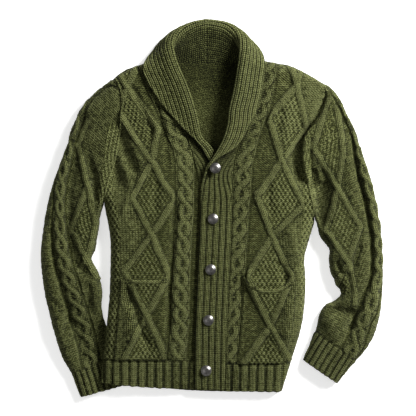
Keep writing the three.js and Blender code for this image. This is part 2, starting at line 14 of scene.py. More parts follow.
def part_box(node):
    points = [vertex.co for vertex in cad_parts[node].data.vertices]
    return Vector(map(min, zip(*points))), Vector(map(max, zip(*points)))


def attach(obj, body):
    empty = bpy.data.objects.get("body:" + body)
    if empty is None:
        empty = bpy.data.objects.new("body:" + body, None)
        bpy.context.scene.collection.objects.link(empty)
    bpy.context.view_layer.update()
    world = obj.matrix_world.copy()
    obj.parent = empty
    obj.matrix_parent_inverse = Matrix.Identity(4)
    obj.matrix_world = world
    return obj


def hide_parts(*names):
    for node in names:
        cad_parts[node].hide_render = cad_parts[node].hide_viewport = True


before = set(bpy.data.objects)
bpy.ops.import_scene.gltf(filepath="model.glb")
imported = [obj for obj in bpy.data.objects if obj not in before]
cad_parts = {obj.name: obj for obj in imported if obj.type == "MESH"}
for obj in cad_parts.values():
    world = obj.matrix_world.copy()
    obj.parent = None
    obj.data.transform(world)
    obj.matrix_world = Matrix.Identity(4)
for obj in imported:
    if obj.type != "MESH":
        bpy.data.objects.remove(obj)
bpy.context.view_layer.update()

# Sizes in millimetres and shares of a whole, as in the CAD part
WALL = 4.0
RIB_WALL = 5.0
GAP = 0.3
BODY_ROUND = 26.0
SHOULDER_ROUND = 30.0
SLEEVE_ROUND = 26.0
SLEEVE_EDGE = 9.5
POCKET_GAPE = 8.0
CUFF_LIFT = 14.8
LIFT_LEFT_OF = -128
LIFT_BELOW = -188
LIFTED_LOSS = 0.55
HEM_DROOP = 8
CENTRE_FROM = 0.6
UNDERARM = 0.5
CAP_FADE = 0.3
RISE_FROM = 0.72
NECK_MIDDLE = 0.441
ROWS = 14
RIB_TOP = 1 / ROWS
POCKET_MOUTH = 4 / ROWS
ROW_STEP = 0.5 / ROWS
SHOULDER_SEAM = WALL + GAP + RIB_WALL / 2
TIP_CLEAR = 3.5
FOLD_REACH = 0.22
CENTRING = np.array([-0.1, 0.35, 0.0])

# Sizes of the knitting, in millimetres
STITCH = 6.2
COURSE = 4.4
HEM_PITCH = 17.9
CUFF_PITCH = 13.0
BAND_PITCH = 13.2
COLLAR_PITCH = 8.7
MOSS_WIDE = 4.7
MOSS_TALL = 7.6
MOSS_HEIGHT = 1.35
MOSS_LEVEL = -0.9
STRAND_WIDTH = 17.5
STRAND_LOW = -1.6
STRAND_TOP = 2.2
CABLE_SWING = 9.4
CABLE_WIDTH = 13.0
CABLE_PERIOD = 36.0
CABLE_COLUMN = 38
CABLE_BED = 26
CABLE_LOW = -1.2
CABLE_TOP = 1.7
COLUMN_LOW = -1.9
COLUMN_TOP = -0.2
FRONT_BED = -3.2
SLEEVE_BED = -2.8
PURL_LEVEL = -2.4
COVERED_LEVEL = -2.5
SEAM_LEVEL = 0.6
BARE_LEVEL = -0.4
BELOW_ALL = -9

# Tones, which lighten or darken a stitch pattern beyond what its relief does
BARE_TONE = 0.06
MOSS_TONE = -0.1
PURL_TONE = -0.2
LATTICE_TONE = -0.22
# painted shade: the right front's lattice is darker than the left's, as it lies further from the lamp
SHADED_LATTICE_TONE = -0.34
STRAND_TONE = -0.02
CABLE_TONE = -0.03
LIP_TONE = -0.12

# Random values each way before they repeat
RANDOM_CELLS = 61

# Points across and along the fine faces
FRONT_LINES = 463
POCKET_GRID = (85, 121)
SLEEVE_UPPER = 95
SLEEVE_LOWER = 37
SLEEVE_LINES = 424
BACK_GRID = (148, 217)
STRIP_COLUMNS = 133
STRIP_LINES = 265
SECTION_STEPS = 480

# Rows from the hem: sideX sideY centreX centreY bow loft centreLoft
FRONT_LEFT = [
    [147, -387, 25, -383, 0, 19, 20],
    [166, -326, 27, -327, 0, 25, 24],
    [185, -264, 30, -262, 0, 31, 28],
    [194, -215, 32, -210, 0, 32, 28],
    [197, -155, 34, -160, 0, 33, 28],
    [195, -105, 37, -105, 0, 34, 28],
    [206, -62, 39, -55, 0, 34, 28],
    [216, -20, 41, 0, 0, 35, 28],
    [205, 40, 42, 60, 0, 35, 30],
    [192, 100, 47, 108, 0, 35, 32],
    [195, 148, 60, 150, 0, 34, 31],
    [214, 176, 71, 186, 0, 34, 30],
    [233, 208, 79, 219, 2, 34, 28],
    [242, 238, 88, 262, 6, 33, 28],
    [233, 266, 105, 312, 11, 32, 28],
]
FRONT_RIGHT = [
    [-233, -366, -34, -379, -4, 19, 14],
    [-229, -318, -33, -321, 0, 25, 18],
    [-223, -266, -32, -262, 0, 31, 22],
    [-218, -213, -31, -210, 0, 32, 22],
    [-215, -160, -30, -155, 0, 33, 22],
    [-214, -110, -28, -100, 0, 34, 22],
    [-215, -55, -27, -45, 0, 34, 22],
    [-227, 12, -25, 10, 0, 35, 22],
    [-219, 52, -27, 60, 0, 35, 22],
    [-206, 95, -37, 104, 0, 35, 22],
    [-197, 140, -52, 150, 0, 34, 23],
    [-192, 180, -69, 192, 0, 34, 24],
    [-189, 222, -86, 229, 1, 34, 24],
    [-194, 254, -104, 272, 3, 33, 24],
    [-206, 276, -124, 312, 6, 32, 24],
]
# The back's top edge: share across, rise
BACK_TOP = [
    [0, 0],
    [0.06, 19],
    [0.187, 38],
    [0.314, 36],
    [0.441, 36],
    [0.575, 39],
    [0.708, 43],
    [0.85, 34],
    [0.94, 15],
    [1, 0],
]
# Rows from the shoulder: outerX outerY innerX innerY outerLoft innerLoft
SLEEVE_LEFT = [
    [233, 266, 216, -20, 38, 38],
    [262, 240, 221, -34, 38, 37],
    [281, 204, 228, -60, 38, 36],
    [300, 165, 240, -76, 38, 36],
    [319, 114, 248, -88, 38, 36],
    [336, 64, 247, -106, 38, 36],
    [349, 8, 248, -124, 37, 36],
    [358, -50, 252, -140, 37, 36],
    [362, -112, 262, -158, 37, 36],
    [361, -165, 272, -180, 37, 36],
    [357, -215, 258, -195, 36, 36],
    [349, -252, 238, -205, 35, 35],
    [334, -286, 226, -226, 33, 34],
    [313, -314, 221, -250, 31, 32],
    [290, -338, 209, -281, 29, 29],
    [265, -369, 193, -320, 26, 26],
]
SLEEVE_RIGHT = [
    [-206, 276, -227, 12, 38, 38],
    [-262, 228, -235, -16, 38, 37],
    [-288, 184, -239, -40, 38, 36],
    [-309, 127, -242, -62, 38, 36],
    [-328, 76, -246, -87, 38, 36],
    [-344, 26, -254, -104, 38, 36],
    [-355, -30, -254, -112, 37, 36],
    [-362, -90, -246, -127, 37, 36],
    [-360, -135, -236, -150, 37, 34],
    [-353, -184, -231, -180, 36, 30],
    [-344, -222, -233, -208, 34, 22],
    [-334, -262, -226, -240, 31, 14],
    [-317, -314, -211, -275, 28, 14],
    [-297, -350, -200, -309, 25, 14],
    [-277, -398, -185, -373, 21, 14],
]
# A band and its half of the collar: row foldX foldY foldZ freeX freeY freeZ turn round. The row counts up
# the front to 14 at the shoulder, and on along the neck to 28 at the middle of the back.
STRIP_LEFT = [
    [0, -5, -381, 22, -36, -379, 22, 180, 0],
    [1, -4, -324, 26, -35, -323, 26, 180, 0],
    [2, -3, -262, 30, -34, -261, 30, 180, 0],
    [4, -2, -160, 30, -30, -160, 30, 180, 0],
    [6, -2, -53, 30, -25, -53, 30, 180, 0],
    [7, -5, 1, 30, -23, 1, 30, 180, 0],
    [7.8, -14, 52, 30.5, -21, 54, 31, 180, 0.5],
    [8.3, -10, 83, 35.4, -8, 86, 39.7, 180, 2.9],
    [8.7, 3, 103, 37.9, 16, 107, 43.8, 180, 3.4],
    [9.1, 16, 125, 38, 44, 124, 43.5, 180, 4],
    [9.6, 27, 148, 39, 63, 146, 42, 180, 4.5],
    [10.3, 35, 177, 40, 78, 177, 41.5, 180, 5],
    [11, 38, 207, 41, 92, 203, 41, 180, 6],
    [12, 46, 240, 42, 101, 234, 40.5, 180, 7],
    [13, 53, 278, 41, 107, 274, 38, 180, 8],
    [14, 59, 318, 39, 110, 306, 28, 172, 9],
    [16.8, 60, 343, 36, 105, 329, 12, 145, 9],
    [19.6, 55, 368, 32, 86, 352, 4, 100, 9],
    [23.1, 36, 387, 24, 59, 362, 3, 60, 9],
    [25.48, 12, 394.5, 17, 22, 352, 2.8, 25, 9],
    [28, -12.5, 397.5, 13, -12.5, 345, 2.8, 0, 9],
]
STRIP_RIGHT = [
    [0, -3, -380, 16, 24, -380, 16, 180, 0],
    [1, -2, -323, 20, 26, -323, 20, 180, 0],
    [2, -1, -262, 24.3, 27, -262, 24.3, 180, 0],
    [4, 5, -157, 24.3, 30, -157, 24.3, 180, 0],
    [6, 14, -48, 24.3, 33, -48, 24.3, 180, 0],
    [7, 21, 8, 24, 34, 8, 24, 180, 0],
    [7.8, 27, 54, 23, 32, 54, 23, 180, 0.5],
    [8.3, 21, 79, 22, 13, 83, 27.6, 180, 2.9],
    [8.7, 10, 105, 22, -6, 102, 27.5, 180, 2.9],
    [9.1, -3, 127, 24.5, -19, 124, 30.5, 180, 3.3],
    [9.6, -23, 149, 28, -34, 144, 33.5, 180, 3.8],
    [10.1, -29, 173, 30, -55, 163, 34.5, 180, 4.4],
    [10.7, -34, 198, 32, -80, 190, 36, 180, 5],
    [11.4, -43, 228, 35, -105, 219, 38, 180, 6],
    [12.2, -55, 261, 37, -128, 255, 37.5, 180, 7],
    [13, -70, 295, 38, -143, 287, 35, 180, 8],
    [14, -80, 324, 36, -139, 312, 22, 172, 9],
    [16.8, -83, 346, 34, -126, 331, 9, 145, 9],
    [19.6, -75, 367, 31, -108, 354, 4, 100, 9],
    [22.4, -58, 383, 24, -84, 361, 3, 60, 9],
    [25.2, -36, 392.5, 17, -48, 352, 2.8, 25, 9],
    [28, -12.5, 397.5, 13, -12.5, 345, 2.8, 0, 9],
]


# Arithmetic
def mix(a, b, t):
    return a + (b - a) * t


def clamp(t):
    return np.clip(t, 0.0, 1.0)


def smooth(t):
    t = clamp(t)
    return t * t * (3 - 2 * t)


def roll(t):
    """A quarter of a circle, from 0 to 1."""
    return np.sqrt(1 - (1 - clamp(t)) ** 2)


def hump(d, width):
    return np.exp(-((d / width) ** 2))


def rows_at(rows, t):
    """A smooth curve through a table's rows, at t from 0 to 1. The last axis is the columns."""
    rows = np.asarray(rows, float)
    at = clamp(np.asarray(t, float)) * (len(rows) - 1)
    i = np.minimum(len(rows) - 2, np.floor(at).astype(int))
    f = (at - i).reshape(at.shape + (1,) * (rows.ndim - 1))
    a, b, c, d = (rows[np.clip(i + k, 0, len(rows) - 1)] for k in (-1, 0, 1, 2))
    bend = (2 * a - 5 * b + 4 * c - d) * f**2 + (3 * b - a - 3 * c + d) * f**3
    return b + 0.5 * ((c - a) * f + bend)


def lengths(points):
    """How far each point of a line, or of each of many lines, is along it."""
    steps = np.linalg.norm(np.diff(points, axis=-2), axis=-1)
    return np.concatenate([np.zeros(steps.shape[:-1] + (1,)), np.cumsum(steps, -1)], -1)


def even(curve, count):
    """Parameters that space a curve's points evenly along its length."""
    t = np.linspace(0, 1, 800)
    length = lengths(curve(t))
    return np.interp(np.linspace(0, length[-1], count), length, t)


def along(points, x, y, parts=5):
    """Signed distance to a smooth line through points (positive on its right), arc length along it,
    and the same as a share of the whole."""
    path = rows_at(points, np.linspace(0, 1, (len(points) - 1) * parts + 1))
    best = np.full(np.shape(x), 1e9)
    side, at = np.zeros_like(best), np.zeros_like(best)
    start = 0.0
    for (ax, ay), (bx, by) in zip(path[:-1], path[1:]):
        dx, dy = bx - ax, by - ay
        length = math.hypot(dx, dy)
        t = clamp(((x - ax) * dx + (y - ay) * dy) / length**2)
        distance = np.hypot(x - ax - t * dx, y - ay - t * dy)
        near = distance < best
        best = np.where(near, distance, best)
        side = np.where(near, np.sign(dy * (x - ax) - dx * (y - ay)), side)
        at = np.where(near, start + t * length, at)
        start += length
    return best * side, at, at / start


def uneven(x, y, size, seed):
    """A smooth random field from -1 to 1, with features of about the given size."""
    cells = np.random.default_rng(seed).uniform(-1, 1, (RANDOM_CELLS, RANDOM_CELLS))
    i, j = np.floor(x / size).astype(int), np.floor(y / size).astype(int)
    f, g = smooth(x / size - i), smooth(y / size - j)
    here, right = i % RANDOM_CELLS, (i + 1) % RANDOM_CELLS
    low, high = (mix(cells[here, k], cells[right, k], f) for k in (j % RANDOM_CELLS, (j + 1) % RANDOM_CELLS))
    return mix(low, high, g)


def blur(h, reach, wrap=False):
    """Box blur, twice, over a grid."""
    n = 2 * reach + 1
    for axis in (0, 0, 1, 1):
        mode = "wrap" if wrap and axis == 1 else "edge"
        pad = [(0, 0), (0, 0)]
        pad[axis] = (reach + 1, reach)
        total = np.cumsum(np.pad(h, pad, mode=mode), axis=axis)
        high = np.take(total, range(n, total.shape[axis]), axis=axis)
        low = np.take(total, range(0, total.shape[axis] - n), axis=axis)
        h = (high - low) / n
    return h


def evened(values, reach):
    """A moving average over a line of values, weighted towards its middle."""
    kernel = np.hanning(2 * reach + 1) / np.hanning(2 * reach + 1).sum()
    return np.convolve(np.pad(values, reach, mode="edge"), kernel, mode="valid")


# Folds. Lines run down the surface in its own x and y; the first width is on their +x side.
def fold(depth, left, right, *points, taper=0.22):
    """A trough (a ridge where depth is negative) along a line, with its own width on each side."""
    return depth, left, right, points, taper


def folds_at(x, y, folds):
    total = np.zeros(np.shape(x))
    for depth, left, right, points, taper in folds:
        a, _, share = along(points, x, y, parts=3)
        ends = smooth(share / taper) * smooth((1 - share) / taper)
        total += depth * hump(a, np.where(a < 0, left, right)) * ends
    return total


LEFT_FOLDS = [
    fold(13, 10, 10, [254, 250], [240, 226], [224, 200], [207, 172], [192, 150]),
    fold(20, 18, 15, [214, 182], [201, 164], [186, 148], [176, 128], [171, 105], [175, 82], [185, 58],
         [194, 34]),
    fold(-4, 8, 10, [197, 175], [180, 148], [163, 118], [159, 98], [167, 70], [183, 38], [190, 10]),
    fold(8, 9, 9, [150, -112], [154, -140], [150, -162]),
    fold(-5, 10, 9, [70, -128], [77, -147], [93, -163]),
    fold(-6, 13, 13, [155, -190], [159, -230], [150, -280]),
    fold(4, 9, 9, [114, -262], [111, -285], [104, -305]),
    fold(-7, 13, 16, [160, -28], [166, -60], [174, -110]),
    fold(5, 8, 10, [150, 215], [141, 180], [146, 150]),
    fold(5, 9, 9, [120, 60], [118, 20], [128, -25]),
]
RIGHT_FOLDS = [
    fold(8, 10, 8, [-180, -150], [-168, -200], [-156, -240], [-141, -278], [-127, -306]),
    fold(6, 7, 8, [-74, 30], [-80, -60], [-87, -120], [-92, -155], [-90, -220], [-98, -278], taper=0.12),
    fold(8.5, 12, 12, [-210, 116], [-205, 88], [-198, 62], [-203, 34]),
    fold(6.5, 9, 9, [-193, 172], [-188, 138], [-180, 110], [-167, 85], [-158, 68]),
    fold(-6, 8, 8, [-176, 150], [-160, 118], [-148, 92], [-151, 65], [-166, 38]),
    fold(-6, 9, 9, [-193, 106], [-179, 76], [-171, 50], [-179, 15], [-190, -30]),
    fold(-6, 8, 9, [-197, 218], [-190, 185], [-168, 152], [-142, 115]),
    fold(6, 7, 7, [-172, 268], [-157, 227], [-139, 195], [-128, 165], [-128, 128]),
    fold(5, 7, 7, [-120, 240], [-108, 190], [-100, 150], [-95, 100], [-90, 58]),
    fold(-5, 12, 14, [-178, -20], [-170, -55], [-178, -95]),
    fold(-5, 10, 12, [-174, -190], [-172, -240], [-168, -290]),
    fold(4, 9, 9, [-112, 60], [-118, 25], [-124, -20]),
]
SLEEVE_LEFT_CREASE = [
    [252, 238], [262, 215], [280, 180], [293, 145], [300, 100], [308, 60], [320, 10], [328, -30],
    [333, -70], [335, -110], [330, -150], [318, -180], [310, -205], [298, -230], [285, -265], [270, -292],
    [258, -320],
]
SLEEVE_LEFT_FOLDS = [
    fold(7.5, 8, 10, *SLEEVE_LEFT_CREASE[1:-1], taper=0.1),
    fold(18, 19, 20, [205, 98], [217, 82], [229, 58], [231, 30], [229, 0], [227, -28], [233, -58],
         taper=0.2),
    fold(11, 5, 6, [215, 150], [207, 125], [205, 100], [212, 60], [219, 20]),
    fold(-11, 7, 7, [217, 92], [226, 72], [231, 50]),
    fold(9, 12, 13, [244, -200], [262, -214], [282, -220], [302, -212], taper=0.3),
    fold(7, 12, 14, [296, -208], [296, -235], [284, -262]),
    fold(-5, 12, 12, [240, -225], [253, -255], [258, -284]),
    fold(8, 6, 6, [260, -106], [269, -130], [280, -144]),
    fold(5, 5, 5, [285, -128], [291, -152], [297, -188]),
    fold(7, 6, 6, [313, -70], [303, -104], [296, -134]),
    fold(-4, 12, 12, [290, 130], [290, 60], [304, -10]),
]
SLEEVE_RIGHT_FOLDS = [
    fold(9, 14, 8, [-262, 215], [-268, 190], [-274, 165], [-283, 140], [-286, 115], [-293, 85], [-300, 50],
         [-303, 20], [-301, -15], [-300, -50], [-296, -82], [-288, -112], [-272, -132], [-248, -143],
         taper=0.1),
    fold(9, 10, 8, [-266, 150], [-259, 100], [-249, 62], [-245, 30], [-241, 0], [-237, -26], taper=0.4),
    fold(-2, 7, 7, [-278, 140], [-271, 85], [-261, 50], [-254, 20]),
    fold(-5, 8, 8, [-212, 145], [-213, 115], [-222, 90], [-226, 50], [-234, 8]),
    fold(6, 9, 9, [-341, -20], [-336, -80], [-326, -130], [-313, -170], [-305, -205], [-301, -232],
         [-285, -258], [-273, -300], [-262, -342], taper=0.12),
    fold(6, 8, 8, [-256, -150], [-260, -186], [-257, -212], [-244, -234]),
    fold(-4, 8, 8, [-268, -107], [-255, -126], [-242, -143]),
    fold(4, 6, 6, [-353, -176], [-325, -205], [-305, -226], [-309, -262], [-321, -294]),
    fold(8, 10, 14, [-230, -240], [-226, -290], [-222, -350]),
    fold(-4, 9, 9, [-246, -152], [-240, -180], [-243, -212]),
    fold(-4, 12, 12, [-325, -215], [-322, -250], [-300, -300]),
]


# Base surfaces
def ground(x, y):
    """The height of what the body lies on: the right cuff raises one corner of the hem."""
    return CUFF_LIFT * smooth((LIFT_LEFT_OF - x) / 50) * smooth((LIFT_BELOW - y) / 45)


def height_of(rows):
    return rows[-1][3] - rows[0][3]


def width_at(rows, v):
    row = rows_at(rows, v)
    return np.hypot(row[..., 0] - row[..., 2], row[..., 1] - row[..., 3])


def armhole_share(rows, v):
    """The share of its full height that a front has at its very edge. It is open only at the armhole."""
    s = (v - UNDERARM) / (1 - UNDERARM)
    length = rows_at(rows, 1.0)[1] - rows_at(rows, UNDERARM)[1]
    return np.where(s <= 0, 0.0, roll(np.minimum(s, 1 - s) * length / BODY_ROUND))


def front_base(rows, folds, u, v):
    """A front's outer face: u from its side to its centre edge, v from the hem to the shoulder."""
    side_x, side_y, centre_x, centre_y, bow, loft, centre_loft = np.moveaxis(rows_at(rows, v), -1, 0)
    x = mix(side_x, centre_x, u)
    y = mix(side_y, centre_y, u) + bow * 4 * u * (1 - u)
    from_side = u * np.hypot(centre_x - side_x, centre_y - side_y)
    side = mix(armhole_share(rows, v), 1.0, roll(from_side / BODY_ROUND))
    share = side * roll((1 - v) * height_of(rows) / SHOULDER_ROUND)
    loft = mix(loft, centre_loft, smooth((u - CENTRE_FROM) / (1 - CENTRE_FROM)))
    base = ground(x, y)
    z = (loft - LIFTED_LOSS * base - folds_at(x, y, folds)) * share
    return np.stack([x, y, base + WALL + GAP + np.maximum(0, z)], -1)


def back_rise(across):
    """How far the back's top edge lies above the line between the shoulders' outer corners."""
    table = np.array(BACK_TOP, float)
    fine = np.linspace(0, 1, 400)
    sharp = np.interp(fine, table[:, 0], table[:, 1])
    rise = mix(sharp, evened(sharp, 16), smooth(np.minimum(fine, 1 - fine) / 0.1))
    return np.interp(across, fine, rise)


def back_plan(across, v):
    """The back's x and y, from the right side at across = 0 to the left side at 1."""
    left, right = rows_at(FRONT_RIGHT, v), rows_at(FRONT_LEFT, v)
    rise = back_rise(across) * smooth((v - RISE_FROM) / (1 - RISE_FROM))
    droop = -HEM_DROOP * np.sin(np.pi * across) * smooth(1 - v / RIB_TOP)
    x = mix(left[..., 0], right[..., 0], across)
    return x, mix(left[..., 1], right[..., 1], across) + rise + droop


# Knitted relief
def cord(d, width):
    """A round cord's section, 1 at its middle."""
    return np.sqrt(clamp(1 - (2 * d / width) ** 2))


def ribbing(r, pitch):
    """Ribs whose crests lie at whole multiples of the pitch, from -1 to 1."""
    d = (r / pitch - np.round(r / pitch)) * pitch
    return 2 * cord(d, 0.75 * pitch) ** 0.9 - 1


def grooved(phase):
    """Broad ribs with narrow grooves at whole numbers, from -1 to 1."""
    d = np.abs(phase - np.round(phase))
    return 0.75 + 0.25 * np.sin(np.pi * d) - 1.75 * hump(d, 0.15)


def seeds(a, b):
    """Moss stitch: small holes between bumps, staggered from row to row, from -1 to 1."""
    c = np.cos(np.pi * a / MOSS_WIDE) * np.cos(np.pi * b / MOSS_TALL)
    return 0.35 + 0.65 * clamp(-c) ** 0.7 - 1.35 * clamp(c) ** 1.2


def groove(distance, depth, width):
    """The groove of a seam, in millimetres."""
    return -depth * hump(distance, width)


def straightened(points):
    """The same path with its sides kept straight, so that only its corners are rounded."""
    points = np.array(points, float)
    path = [points[0]]
    for a, b in zip(points[:-1], points[1:]):
        path += [mix(a, b, 0.2), mix(a, b, 0.5), mix(a, b, 0.8), b]
    return np.array(path)


def knitting(a, b, purl):
    """What the wool's material reads: stitches across, courses up and the share of purl."""
    return np.stack([a / STITCH, b / COURSE, purl], -1)


class Fabric:
    """The relief of one panel as it builds up. h is its height, a and b are what its stitches and
    courses are counted by, across and up, and tone lightens or darkens it."""

    def __init__(self, x, y, a, b):
        self.x = x + 1.3 * uneven(x, y, 30, 1) + 0.5 * uneven(x, y, 9, 8)
        self.y = y + 1.3 * uneven(x, y, 30, 2) + 0.5 * uneven(x, y, 9, 9)
        self.h = np.full(x.shape, BARE_LEVEL)
        self.a, self.b = a, b
        self.own_a, self.own_b = a, b
        self.purl = np.zeros(x.shape)
        self.tone = np.full(x.shape, BARE_TONE)

    def knit(self):
        return knitting(self.a, self.b, self.purl)

    def shade(self, wrap=False, wide=6, fine=2):
        """Painted shade in the valleys of the relief and painted light on its crests."""
        h = self.h
        from_near = (h - blur(h, wide, wrap)) / 6 + (h - blur(h, fine, wrap)) / 2.6
        return clamp(clamp(0.56 + 0.1 * h + from_near) + self.tone)

    def side_of(self, points):
        """How far each place lies to the right of a line."""
        return along(points, self.x, self.y)[0]

    def moss(self, mask, tone=MOSS_TONE):
        """Moss stitch, a little uneven."""
        wobble = 0.8 * uneven(self.x, self.y, 8, 10)
        bumps = seeds(self.own_a + wobble, self.own_b + wobble)
        self.h = mix(self.h, MOSS_LEVEL + MOSS_HEIGHT * bumps, mask)
        self.purl = np.maximum(self.purl, mask)
        self.tone = mix(self.tone, tone, mask)

    def plain(self, mask, level):
        """Purl stitches without a pattern."""
        self.h = mix(self.h, level, mask)
        self.purl = mix(self.purl, 1.0, mask)
        self.tone = mix(self.tone, PURL_TONE, mask)

    def rib(self, inside, r, pitch, level, height):
        """Ribs over the places that lie inside their edge by more than 0. Gives their mask."""
        mask = smooth(inside / 4 + 0.5)
        self.h = mix(self.h, level + height * ribbing(r, pitch), mask)
        self.purl = self.purl * (1 - mask)
        return mask

    def worn(self):
        """Small unevenness of hand-knitted yarn."""
        self.h = self.h + 0.55 * (uneven(self.x, self.y, 3.1, 3) + 0.7 * uneven(self.x, self.y, 7, 4))

    def strand(self, d, b, width, low, top, power, shown):
        """Lays a strand on the fabric where it is higher, with its own stitches."""
        section = cord(d, width)
        height = np.where((section > 0) & shown, mix(low, top, section**power), BELOW_ALL)
        wins = height > self.h
        self.h = np.where(wins, height, self.h)
        self.purl = np.where(wins, 0, self.purl)
        self.tone = np.where(wins, STRAND_TONE, self.tone)
        self.a = np.where(wins, d, self.a)
        self.b = np.where(wins, b, self.b)

    def cable(self, a, b, shown, hand, bed):
        """A raised column of two fat strands that wind round a knob at each turn, in a plain bed."""
        self.plain(smooth((CABLE_BED - np.abs(a)) / 5) * shown, bed)
        self.strand(a, b, CABLE_COLUMN, COLUMN_LOW, COLUMN_TOP, 0.7, shown)
        turn = np.pi * b / CABLE_PERIOD
        for k in (1, -1):
            middle = k * CABLE_SWING * np.cos(turn)
            slope = k * CABLE_SWING * np.sin(turn) * np.pi / CABLE_PERIOD
            d = (a - middle) / np.sqrt(1 + slope**2)
            top = CABLE_TOP - 0.7 * k * hand * np.sin(turn)
            self.strand(d, b, CABLE_WIDTH, CABLE_LOW, top, 0.9, shown)
        chance = 1 + 0.5 * uneven(self.x, self.y, 40, 12)
        up = (b / CABLE_PERIOD - np.round(b / CABLE_PERIOD)) * CABLE_PERIOD
        from_eye = np.hypot(a, up / 1.3)
        knob = 1.9 * hump(from_eye, 2.8) - 1.1 * chance * np.exp(-((from_eye / 5) ** 4))
        self.h = self.h + knob * shown
        self.tone = np.where(shown & (cord(a, CABLE_COLUMN) > 0), CABLE_TONE, self.tone)

    def cable_along(self, points, hand=1):
        """A cable on a line, all the way along it."""
        a, b, share = along(points, self.x, self.y)
        self.cable(a, b, (share > 0.005) & (share < 0.995), hand, FRONT_BED)

    def path(self, points):
        """The x of a path at each place's y, its lean, and where it runs."""
        line = rows_at(straightened(points), np.linspace(0, 1, 60 * len(points)))
        line = line[np.argsort(line[:, 1])]
        here, above, below = (np.interp(self.y + up, line[:, 1], line[:, 0]) for up in (0, 2, -2))
        return here, (above - below) / 4, (self.y > line[0, 1]) & (self.y < line[-1, 1])

    def lattice(self, first, second, mask=True, plain_side=0, tone=LATTICE_TONE):
        """Two strands that cross and part, with moss stitch between them, and purl beside them on the
        plain side: -1 for -x, 1 for +x or 0 for neither."""
        one, lean_one, in_one = self.path(first)
        two, lean_two, in_two = self.path(second)
        from_left, from_right = self.x - np.minimum(one, two), np.maximum(one, two) - self.x
        if plain_side:
            outside = -from_left if plain_side < 0 else -from_right
            self.plain(smooth(outside / 9), PURL_LEVEL)
        self.moss(smooth(from_left / 4) * smooth(from_right / 4) * in_one * in_two * mask, tone)
        crossing = hump(one - two, 12)
        for path, lean, runs in ((one, lean_one, in_one), (two, lean_two, in_two)):
            # the strand that runs down towards +x lies over the other
            top = STRAND_TOP - 0.9 * crossing * np.clip(lean * 4, -1, 1)
            d = (self.x - path) / np.sqrt(1 + lean**2)
            self.strand(d, self.y * 1.15, STRAND_WIDTH, STRAND_LOW, top, 1.6, mask & runs)


# Materials
def nodes_of(name):
    material = bpy.data.materials.new(name)
    material.use_nodes = True
    tree = material.node_tree
    return material, tree, tree.nodes["Principled BSDF"]


def set_inputs(shader, values):
    for name, value in values.items():
        shader.inputs[name].default_value = value


def maths(tree, operation):
    """A function that adds a maths node to the tree and gives its output."""

    def calc(*values):
        node = tree.nodes.new("ShaderNodeMath")
        node.operation = operation
        for socket, value in zip(node.inputs, values):
            if isinstance(value, (int, float)):
                socket.default_value = value
            else:
                tree.links.new(value, socket)
        return node.outputs[0]

    return calc


def attribute(tree, name, output):
    node = tree.nodes.new("ShaderNodeAttribute")
    node.attribute_name = name
    return node.outputs[output]


def noise(tree, scale, detail, roughness):
    node = tree.nodes.new("ShaderNodeTexNoise")
    set_inputs(node, {"Scale": scale, "Detail": detail, "Roughness": roughness})
    coordinates = tree.nodes.new("ShaderNodeTexCoord").outputs["Object"]
    tree.links.new(coordinates, node.inputs["Vector"])
    return node.outputs["Fac"]


def ramp(tree, value, *stops):
    node = tree.nodes.new("ShaderNodeValToRGB")
    elements = node.color_ramp.elements
    while len(elements) < len(stops):
        elements.new(0.5)
    for element, (at, colour) in zip(elements, stops):
        element.position = at
        element.color = (*colour, 1)
    tree.links.new(value, node.inputs["Fac"])
    return node.outputs["Color"]


